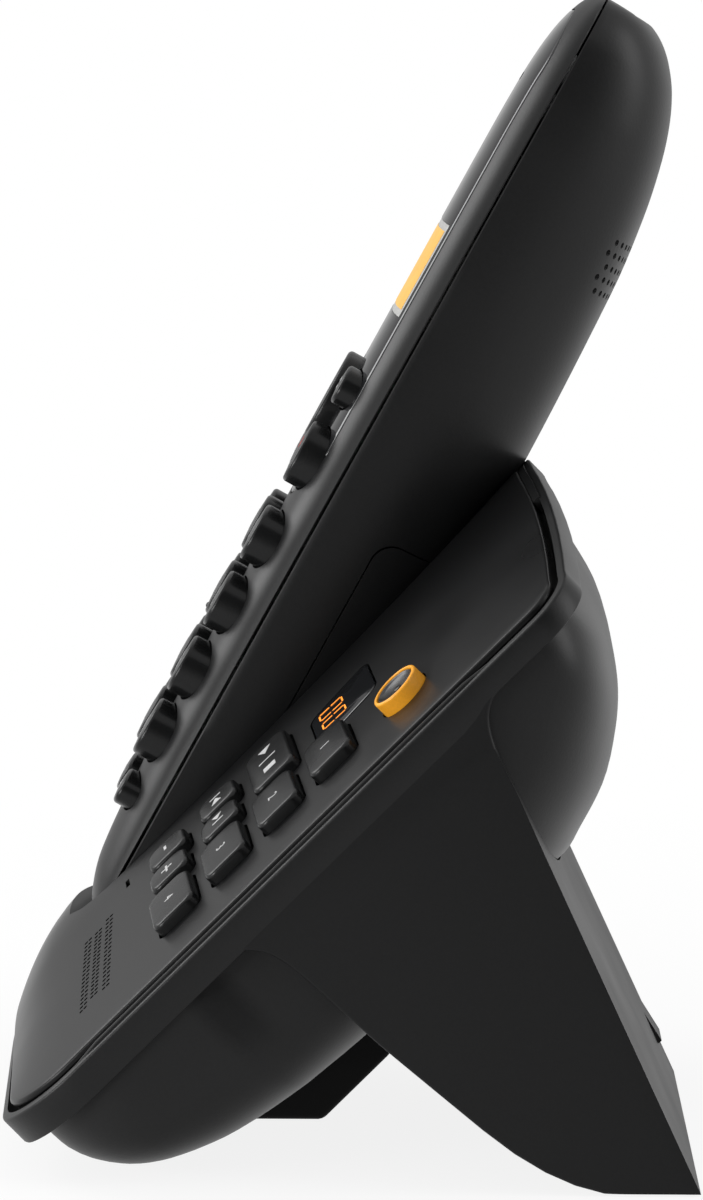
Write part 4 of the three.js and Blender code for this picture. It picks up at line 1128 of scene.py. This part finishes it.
def make_pedestal():
    body = beveled(pedestal_shape(0), pedestal["edge"])
    return cut(body, moved(bowl_shape(fit_gap), plate_from_row.inverted()))


# The front pedestal takes the darker plastic, which paints the shade under the base.
piece(make_pedestal(), "pedestal_skin", painted_shade_plastic, "base", row_place, "front_pedestal")


# Keys, with raised signs that stand proud of their tops

key_top_shares = (0.85, 0.65, 0.4, 0.18)
mark_half = 0.1
mark_proud = 0.035
mark_sunk = 0.12


def key_shape(outline, width, length, bottom, top, radius, sag, steps=5):
    """A key with rounded upper edges and a crowned top. Returns it and its top's height at x, y."""

    def height(x, y):
        return top - sag * ((2 * x / width) ** 2 + (2 * y / length) ** 2) / 2

    sizes = [(0, bottom, False)]
    sizes += [(radius * (1 - c), -radius * (1 - s), True) for s, c in quarter(steps)]
    rings = []
    for inset, lift, on_top in sizes:
        ring = outline(*grown(width, length, -inset))
        rings.append([(x, y, height(x, y) + lift if on_top else lift) for x, y in ring])
    edge = outline(*grown(width, length, -radius))
    for share in key_top_shares:
        rings.append([(x * share, y * share, height(x * share, y * share)) for x, y in edge])
    return loft(rings), height


def drape(mesh, height):
    for v in mesh.vertices:
        v.co.z = height(v.co.x, v.co.y) + (mark_proud if v.co.z > 0 else -mark_sunk)


def legend(name, text, size, height, body, place):
    """A raised plain number or sign that follows a key's top."""
    curve = bpy.data.curves.new("legend", "FONT")
    curve.body = text
    curve.size = size
    curve.align_x = "CENTER"
    curve.align_y = "CENTER"
    curve.extrude = mark_half
    curve.resolution_u = 4
    letters = linked("legend", curve)
    graph = bpy.context.evaluated_depsgraph_get()
    mesh = bpy.data.meshes.new_from_object(letters.evaluated_get(graph))
    drop(letters)
    drape(mesh, height)
    return piece(linked("legend", mesh), name, legend_finish, body, place)


def sign(name, outlines, height, material, body, place):
    """Raised flat marks, each a closed outline, that follow a key's top."""
    marks = gathered([prism(outline, -mark_half, mark_half) for outline in outlines])
    drape(marks.data, height)
    return piece(marks, name, material, body, place)


def arrow(x, y, width, length):
    return [(x - width / 2, y - length / 2), (x + width / 2, y), (x - width / 2, y + length / 2)]


def bean(x, y, width, length, sides=24):
    return [(x + px, y + py) for px, py in oval(width, length, 2.0, sides)]


# Marks of the base keys: x, y, width and length of each
key_signs = {
    "play_stop_key": [arrow(-4.2, 0, 2.4, 2.6), bar(-0.2, 0, 0.36, 3.4), bar(3.8, 0, 1.7, 2.4)],
    "next_key": [arrow(-0.8, 0, 1.8, 2.0), bar(0.8, 0, 0.36, 2.2)],
    "previous_key": [arrow(0.8, 0, -1.8, 2.0)[::-1], bar(-0.8, 0, 0.36, 2.2)],
    "volume_up_key": [bar(-0.7, 0, 1.0, 0.4), bar(0, 0, 0.4, 2.2), bar(0.7, 0, 1.0, 0.4)],
    "volume_down_key": [bar(0, 0, 1.5, 0.5)],
}


def base_key_outline(width, length):
    radius = min(base_key_radius, width / 2 - least_step, length / 2 - least_step)
    return rounded(width, length, radius)


for key_name, (s, row, (width, length)) in base_keys.items():
    place = facet_place @ offset(-s, row_at(row, s), 0)
    cap, height = key_shape(
        base_key_outline, width, length, -cover_wall, base_key_height, base_key_edge, base_key_sag
    )
    flange = rounded(*grown(width, length, key_flange), flange_radius)
    joined(cap, prism(flange, key_bottom_level, -cover_wall - fit_gap))
    piece(cap, f"{key_name}_cap", key_finish, key_name, place, key_name)
    if key_name in key_signs:
        sign(f"{key_name}_sign", key_signs[key_name], height, legend_finish, key_name, place)
    else:
        legend(f"{key_name}_number", key_name[-1], base_number_size, height, key_name, place)


def edge_round(radius, z, size, side, steps=5):
    """Profile points over a ring's top edge: its outer one for side 1, its bore's for side -1."""
    points = [(radius - side * size + side * size * c, z - size + size * s) for s, c in quarter(steps)]
    return points[::side]


# The locate key: a ring, and a dished cap with a small rivet in its middle
round_angle = 50
cap_gap = 0.1
cap_sunk = 0.2
cap_chamfer = 0.15
dish_depth = 0.6
dish_shares = (0.86, 0.74, 0.62, 0.5, 0.36, 0.2)
# Radius and depth under the cap's top
rivet_profile = ((0, 0.9), (0.7, 0.9), (0.7, 0.5), (0.5, 0.42), (0, 0.4))

ring_place = facet_place @ offset(-ring_key["s"], ring_key["y"], 0)
bore, top = ring_key["bore"], ring_key["height"]
ring_profile = [(bore, key_bottom_level), (ring_key["radius"], key_bottom_level)]
ring_profile += edge_round(ring_key["radius"], top, ring_key["edge"], 1)
ring_profile += edge_round(bore, top, ring_key["bore_edge"], -1)
ring = lathe(ring_profile)
piece(ring, "locate_ring", orange_finish, "locate_key", ring_place, "locate_key_ring", angle=round_angle)
cap_radius = bore - cap_gap
cap_top = top - cap_sunk
cap_profile = [(0, key_bottom_level), (cap_radius, key_bottom_level), (cap_radius, cap_top - cap_chamfer)]
cap_profile += [(cap_radius - cap_chamfer, cap_top), (cap_radius - 2 * cap_chamfer, cap_top)]
for share in dish_shares + (0,):
    cap_profile.append((cap_radius * share, cap_top - dish_depth * (1 - share**2)))
cap = lathe(cap_profile)
piece(cap, "locate_cap", dish_finish, "locate_key", ring_place, "locate_key_cap", angle=round_angle)
rivet = lathe([(radius, cap_top - depth) for radius, depth in rivet_profile], sides=48)
piece(rivet, "locate_cap_centre", key_finish, "locate_key", ring_place)


# The counter: a dark window with two lit digits

counter_place = facet_place @ offset(-counter["s"], counter["y"], 0)


def window_outline(inset):
    size = grown(counter["width"], counter["length"], -inset)
    return rounded(*size, counter["radius"] - inset, counter["lean"])


# Inset and height of the window's layers
window_layers = ((0, -1.8), (0, -0.1), (0.08, 0.06), (0.28, 0.12))
window = loft([[(x, y, z) for x, y in window_outline(inset)] for inset, z in window_layers])
piece(window, "counter_lens", lens_finish, "base", counter_place, "counter_window")

digit = {"width": 2.6, "height": 4.6, "thick": 0.3, "pitch": 4.4, "x": -0.35, "y": -2.1}
digit_gaps = {"across": 0.3, "up": 0.25}
digit_lean_share = 0.08


def segment(x, y, length, upright):
    """One bar of a seven-segment digit, with pointed ends."""
    h, w = length / 2, digit["thick"] / 2
    line = [(-h, 0), (-h + w, -w), (h - w, -w), (h, 0), (h - w, w), (-h + w, w)]
    return [(x - b, y + a) if upright else (x + a, y + b) for a, b in line]


def zero_digit(x):
    y, width, height = digit["y"], digit["width"], digit["height"]
    bars = [segment(x, y + side * height / 2, width - digit_gaps["across"], False) for side in (-1, 1)]
    for sx in (-1, 1):
        for sy in (-1, 1):
            middle = (x + sx * width / 2, y + sy * height / 4)
            bars.append(segment(*middle, height / 2 - digit_gaps["up"], True))
    return [[(px + digit_lean_share * (py - y), py) for px, py in line] for line in bars]


def window_top(x, y):
    return window_layers[-1][1]


digit_bars = zero_digit(digit["x"] - digit["pitch"] / 2) + zero_digit(digit["x"] + digit["pitch"] / 2)
sign("counter_digits", digit_bars, window_top, digit_finish, "base", counter_place)

# The handset

lens = {"width": 40, "top": 4.2, "bottom": 91.9, "wall": 1.4, "radius": 11, "gap": 0.25, "floor_gap": 0.1}
lens_edge = 0.3
lens_proud = 0.02
lcd = {"top": 42.7, "bottom": 59, "width": 37, "drop": 0.06, "depth": 5.5, "gap": 0.1}
lcd_border = {"across": 2, "along": 2.4}
lcd_screen_depth = 0.5
lcd_length = lcd["bottom"] - lcd["top"]
lcd_middle = -(lcd["top"] + lcd["bottom"]) / 2
earpiece = {"y": 17, "width": 10, "length": 1.4, "radius_share": 0.48}
ringer = {"rows": (32.5, 34.5, 36.6, 38.6, 40.7), "pitch": 2.05, "reach": 16.5, "radius": 0.5}
ringer_depth_share = 0.6
door = {"top": 90, "bottom": 152, "side": 10, "radius": 3.5, "wall": 1.6, "gap": 0.22}


def key_holes():
    holes = []
    for x, along, width, length, rise in handset_keys.values():
        hole = prism(oval(*grown(width, length)), 0, handset_width)
        holes.append(moved(hole, offset(x, -along, 0)))
    size = grown(navigation["width"], navigation["length"], navigation["gap"])
    hole = prism(oval(*size), 0, handset_width)
    holes.append(moved(hole, offset(0, -navigation["along"], 0)))
    holes.append(block(lcd["width"], lcd_length, handset_width, 0, lcd_middle, handset_width / 2))
    slot = rounded(earpiece["width"], earpiece["length"], earpiece["length"] * earpiece["radius_share"])
    holes.append(moved(prism(slot, 0, handset_width), offset(0, -earpiece["y"], 0)))
    return gathered(holes)


lens_rows_along = 90
lens_rows_across = 40
lens_corner_steps = 10


def lens_rows(inset):
    radius = lens["radius"] - inset
    low, high = -lens["bottom"] + inset, -lens["top"] - inset
    half = lens["width"] / 2 - inset
    corner = [radius * (1 - c) for s, c in quarter(lens_corner_steps)]
    straight = high - low - 2 * radius
    middle = [radius + straight * i / lens_rows_along for i in range(1, lens_rows_along)]
    stations = [low + d for d in corner + middle] + [high - d for d in reversed(corner)]
    rows = []
    for y in stations:
        past = max(low + radius - y, y - high + radius, 0)
        wide = half - radius + math.sqrt(max(radius**2 - past**2, 0))
        rows.append([(wide * (2 * i / lens_rows_across - 1), y) for i in range(lens_rows_across + 1)])
    return rows


def lens_height(x, y):
    return front_height(x, -y)


holes = key_holes()
lens_layers = round_edge(0, lens_proud, lens_edge) + [(0, -lens["wall"])]
lens_piece = cut(layered(lens_rows, lens_height, lens_layers), holes, keep=True)
piece(lens_piece, "lens_skin", lens_finish, "handset", handset_place, "display_lens")


def make_front_shell():
    shell = cut(half_shell_skin(1), handset_shape(-front_wall, **inner_handset))
    layers = [(-lens["gap"], overrun), (-lens["gap"], -lens["wall"] - lens["floor_gap"])]
    cut(shell, layered(lens_rows, lens_height, layers))
    return cut(shell, holes)


piece(make_front_shell(), "front_shell_skin", front_finish, "handset", handset_place, "handset_front_shell")


def door_space(grow):
    """The room of the battery cover, from side to side of the handset's back."""
    length = door["bottom"] - door["top"] + 2 * grow
    outline = rounded(length, 2 * handset_back, door["radius"])
    slab = [[(x, y, z) for y, z in outline] for x in (-handset_width, handset_width)]
    middle = -(door["top"] + door["bottom"]) / 2
    return moved(loft(slab), offset(0, middle, -door["side"] - handset_back + grow))


def ringer_holes():
    holes = []
    low, high = -handset_back - overrun, -handset_back * ringer_depth_share
    count = int(ringer["reach"] / ringer["pitch"])
    for n, along in enumerate(ringer["rows"]):
        shift = 0 if n % 2 else ringer["pitch"] / 2
        for i in range(-count, count + 1):
            x = i * ringer["pitch"] + shift
            if abs(x) <= ringer["reach"]:
                holes.append(rod(ringer["radius"], low, high, x, -along, sides=12))
    return gathered(holes)


def make_back_shell():
    shell = half_shell_skin(-1)
    cover = copied(shell)
    cut(shell, handset_shape(-back_wall, **inner_handset))
    cut(shell, door_space(0))
    cut(shell, ringer_holes())
    depth = contact["sunk"] + contact["wall"] + fit_gap
    size = grown(contact["width"], contact["length"])
    for side in (-1, 1):
        cut(shell, on_foot(*size, overrun + depth, side * contact["x"], overrun))
    common(cover, door_space(-door["gap"]))
    cut(cover, handset_shape(-door["wall"], **inner_handset))
    return shell, cover


back_shell, battery_door = make_back_shell()
piece(back_shell, "back_shell_skin", shell_finish, "handset", handset_place, "handset_back_shell")
piece(battery_door, "battery_door_skin", shell_finish, "handset", handset_place, "battery_cover")

key_marks = {"star": "*", "hash": "#"}
# The nub on the middle key: its place from the key's middle, and its radius and height over the top
nub_place = (0, -3.6, -0.2)
nub_profile = ((0, -0.3), (0.5, -0.3), (0.45, 0.1), (0.25, 0.25), (0, 0.3))
# Marks of the other keys: x, y, width and length of each
function_mark = [bar(0, 0, 4.2, 1.0)]
handle_mark = [bean(-1.7, 1.4, 1.7, 1.9), bean(1.7, 1.4, 1.7, 1.9), bar(0, 1.95, 3.4, 0.9)]
call_mark = [bean(0, -2.3, 1.8, 1.5)]
soft_mark = [bar(0, 0.7, 3.6, 0.7), bar(0, -0.7, 3.6, 0.7)]
handset_signs = (
    ("function_key_left", "sign", function_mark, legend_finish),
    ("function_key_middle", "sign", function_mark, legend_finish),
    ("function_key_right", "sign", function_mark, legend_finish),
    ("call_key", "sign", handle_mark, legend_finish),
    ("call_key", "mark", call_mark, legend_finish),
    ("end_key", "sign", handle_mark, red_finish),
    ("end_key", "mark", call_mark, legend_finish),
    ("soft_key_left", "sign", soft_mark, legend_finish),
    ("soft_key_right", "sign", soft_mark, legend_finish),
)

key_tops = {}
for key_name, (x, along, width, length, rise) in handset_keys.items():
    place = handset_place @ offset(x, -along, 0)
    top = front_height(x, along) + rise
    cap, height = key_shape(oval, width, length, key_bottom, top, handset_key_edge, handset_key_sag)
    piece(cap, f"{key_name}_cap", key_finish, key_name, place, key_name)
    key_tops[key_name] = (height, place)
    if key_name.startswith("number_key"):
        mark = key_name.split("_")[-1]
        text = key_marks.get(mark, mark)
        legend(f"{key_name}_number", text, handset_number_size, height, key_name, place)
    if key_name == "number_key_5":
        nub = lathe([(radius, top + proud) for radius, proud in nub_profile], sides=24)
        moved(nub, offset(*nub_place))
        piece(nub, "number_key_5_nub", key_finish, key_name, place)

for key_name, kind, outlines, material in handset_signs:
    height, place = key_tops[key_name]
    sign(f"{key_name}_{kind}", outlines, height, material, key_name, place)

rocker_top = front_height(0, navigation["along"]) + navigation["rise"]
rocker_skirt = handset_front - front_wall - rocker["skirt"]
rocker_place = handset_place @ offset(0, -navigation["along"], 0)
size = (navigation["width"], navigation["length"])
rocker_cap = key_shape(oval, *size, rocker_skirt, rocker_top, rocker["edge"], rocker["sag"])[0]
piece(rocker_cap, "navigation_cap", key_finish, "navigation_key", rocker_place, "navigation_key")

lcd_place = handset_place @ offset(0, lcd_middle, 0)
lcd_rows_across = 24
lcd_rows_along = 8


def lcd_block(width, length, top_drop, bottom_drop):
    across = [width / 2 * (2 * i / lcd_rows_across - 1) for i in range(lcd_rows_across + 1)]
    along = [length / 2 * (2 * j / lcd_rows_along - 1) for j in range(lcd_rows_along + 1)]

    def rows_of(inset):
        return [[(x, y) for x in across] for y in along]

    def height(x, y):
        return front_height(x, -(y + lcd_middle))

    return layered(rows_of, height, [(0, -top_drop), (0, -bottom_drop)])


border = lcd_block(lcd["width"] - lcd["gap"], lcd_length - lcd["gap"], lcd["drop"], lcd["depth"])
piece(border, "lcd_border", border_finish, "handset", lcd_place, "lcd_module")
screen = lcd_block(lcd["width"] - lcd_border["across"], lcd_length - lcd_border["along"], 0, lcd_screen_depth)
piece(screen, "lcd_screen", amber_finish, "handset", lcd_place)

# Finishes of the nodes that keep their shape
finishes = {
    "rear_foot_left": rubber_finish, "rear_foot_right": rubber_finish,
    "base_screw_lower": steel_finish, "base_screw_upper": steel_finish,
    "counter_display": painted_shade_plastic, "base_board": board_finish, "base_speaker": steel_finish,
    "line_jack": socket_finish, "power_jack": socket_finish,
    "charge_pin_left": gold_finish, "charge_pin_right": gold_finish,
    "handset_board": board_finish, "earpiece_receiver": steel_finish, "ringer_speaker": steel_finish,
    "battery_cell_left": cell_finish, "battery_cell_right": cell_finish,
    "handset_contact_left": gold_finish, "handset_contact_right": gold_finish,
}
for name, material in finishes.items():
    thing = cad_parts[name]
    thing.data.materials.clear()
    thing.data.materials.append(material)


# The stage, the light and the camera

floor_half = 6000
floor_tone = 0.86
# Where the floor starts to fade to white, and where it ends, in metres from the middle
fade_near = 0.06
fade_far = 0.3
world_level = 0.62
lens_length = 135.3
clip_near = 0.05
clip_far = 20
eye_point = (701, 65.1, 161)
aim_point = (61, 50.46, 87)


def grey(tone):
    return (tone, tone, tone, 1)


def sheet(name, corners):
    """A flat sheet on the stage, and the empty node tree of its material."""
    thing = shape(corners, [[0, 1, 2, 3]])
    thing.data.transform(Matrix.Scale(MM, 4))
    thing.name = name
    material = bpy.data.materials.new(name)
    material.use_nodes = True
    material.node_tree.nodes.clear()
    thing.data.materials.append(material)
    return thing, material.node_tree


def surface(tree, output):
    node(tree, "OutputMaterial", Surface=output)


def seen_by_camera(tree):
    """1 for camera, glossy and transmission rays, else 0."""
    path = node(tree, "LightPath")
    total = path.outputs["Is Camera Ray"]
    for name in ("Is Glossy Ray", "Is Transmission Ray"):
        most = node(tree, "Math")
        most.operation = "MAXIMUM"
        tree.links.new(total, most.inputs[0])
        tree.links.new(path.outputs[name], most.inputs[1])
        total = most.outputs["Value"]
    return total


def make_floor():
    """A pale floor that turns into the white of the background away from the middle."""
    floor, tree = sheet("floor", [(x, y, 0) for x, y in bar(0, 0, 2 * floor_half, 2 * floor_half)])
    near = node(tree, "BsdfDiffuse", Color=grey(floor_tone))
    glow = node(tree, "Emission", Strength=seen_by_camera(tree))
    away = node(tree, "VectorMath", Vector=node(tree, "TexCoord").outputs["Object"])
    away.operation = "LENGTH"
    share = map_range(tree, away.outputs["Value"], floor_tone, 1, fade_near, fade_far)
    blend = node(tree, "MixShader", Fac=share)
    tree.links.new(near.outputs["BSDF"], blend.inputs[1])
    tree.links.new(glow.outputs["Emission"], blend.inputs[2])
    surface(tree, blend.outputs["Shader"])


make_floor()

world = bpy.data.worlds.new("studio")
bpy.context.scene.world = world
world.use_nodes = True
tree = world.node_tree
background = tree.nodes["Background"]
background.inputs["Color"].default_value = grey(1)
level = map_range(tree, seen_by_camera(tree), world_level, 1, 0, 1)
tree.links.new(level, background.inputs["Strength"])


def aimed(thing, place, target):
    thing.location = place
    thing.rotation_euler = (Vector(target) - Vector(place)).to_track_quat("-Z", "Y").to_euler()


# Lamps: place and target in metres, width and height in metres, and watts
lamps = {
    "key_light": ((-0.2, -0.42, 0.3), (0, -0.06, 0.03), (0.3, 0.3), 1.3),
    "rear_light": ((0.25, 0.95, 0.45), (0, 0, 0.08), (0.5, 0.9), 5),
    "low_light": ((0.3, -0.42, 0.06), (0.03, -0.03, 0.01), (0.3, 0.2), 2.2),
}
for name, (place, target, size, watts) in lamps.items():
    light = bpy.data.lights.new(name, "AREA")
    light.shape = "RECTANGLE"
    light.size, light.size_y = size
    light.energy = watts
    aimed(linked(name, light), place, target)

# Cards that show in reflections only, as a studio's darker sides do: x, y and z of both ends, and tone
cards = {
    "dark_card": (1050, (-800, 800), (-350, 950), 0.002),
    "grey_card": (-500, (-700, 150), (0, 500), 0.5),
}
for name, (x, (front, rear), (bottom, top), tone) in cards.items():
    corners = [(x, front, bottom), (x, rear, bottom), (x, rear, top), (x, front, top)]
    card, tree = sheet(name, corners)
    surface(tree, node(tree, "Emission", Color=grey(tone)).outputs["Emission"])
    card.visible_camera = False
    card.visible_diffuse = False
    card.visible_shadow = False
    card.visible_transmission = False

camera = bpy.data.cameras.new("camera")
camera.lens = lens_length
camera.clip_start = clip_near
camera.clip_end = clip_far
viewer = linked("camera", camera)
aimed(viewer, row_place @ Vector(eye_point) * MM, row_place @ Vector(aim_point) * MM)
bpy.context.scene.camera = viewer
bpy.context.scene.view_settings.view_transform = "Standard"
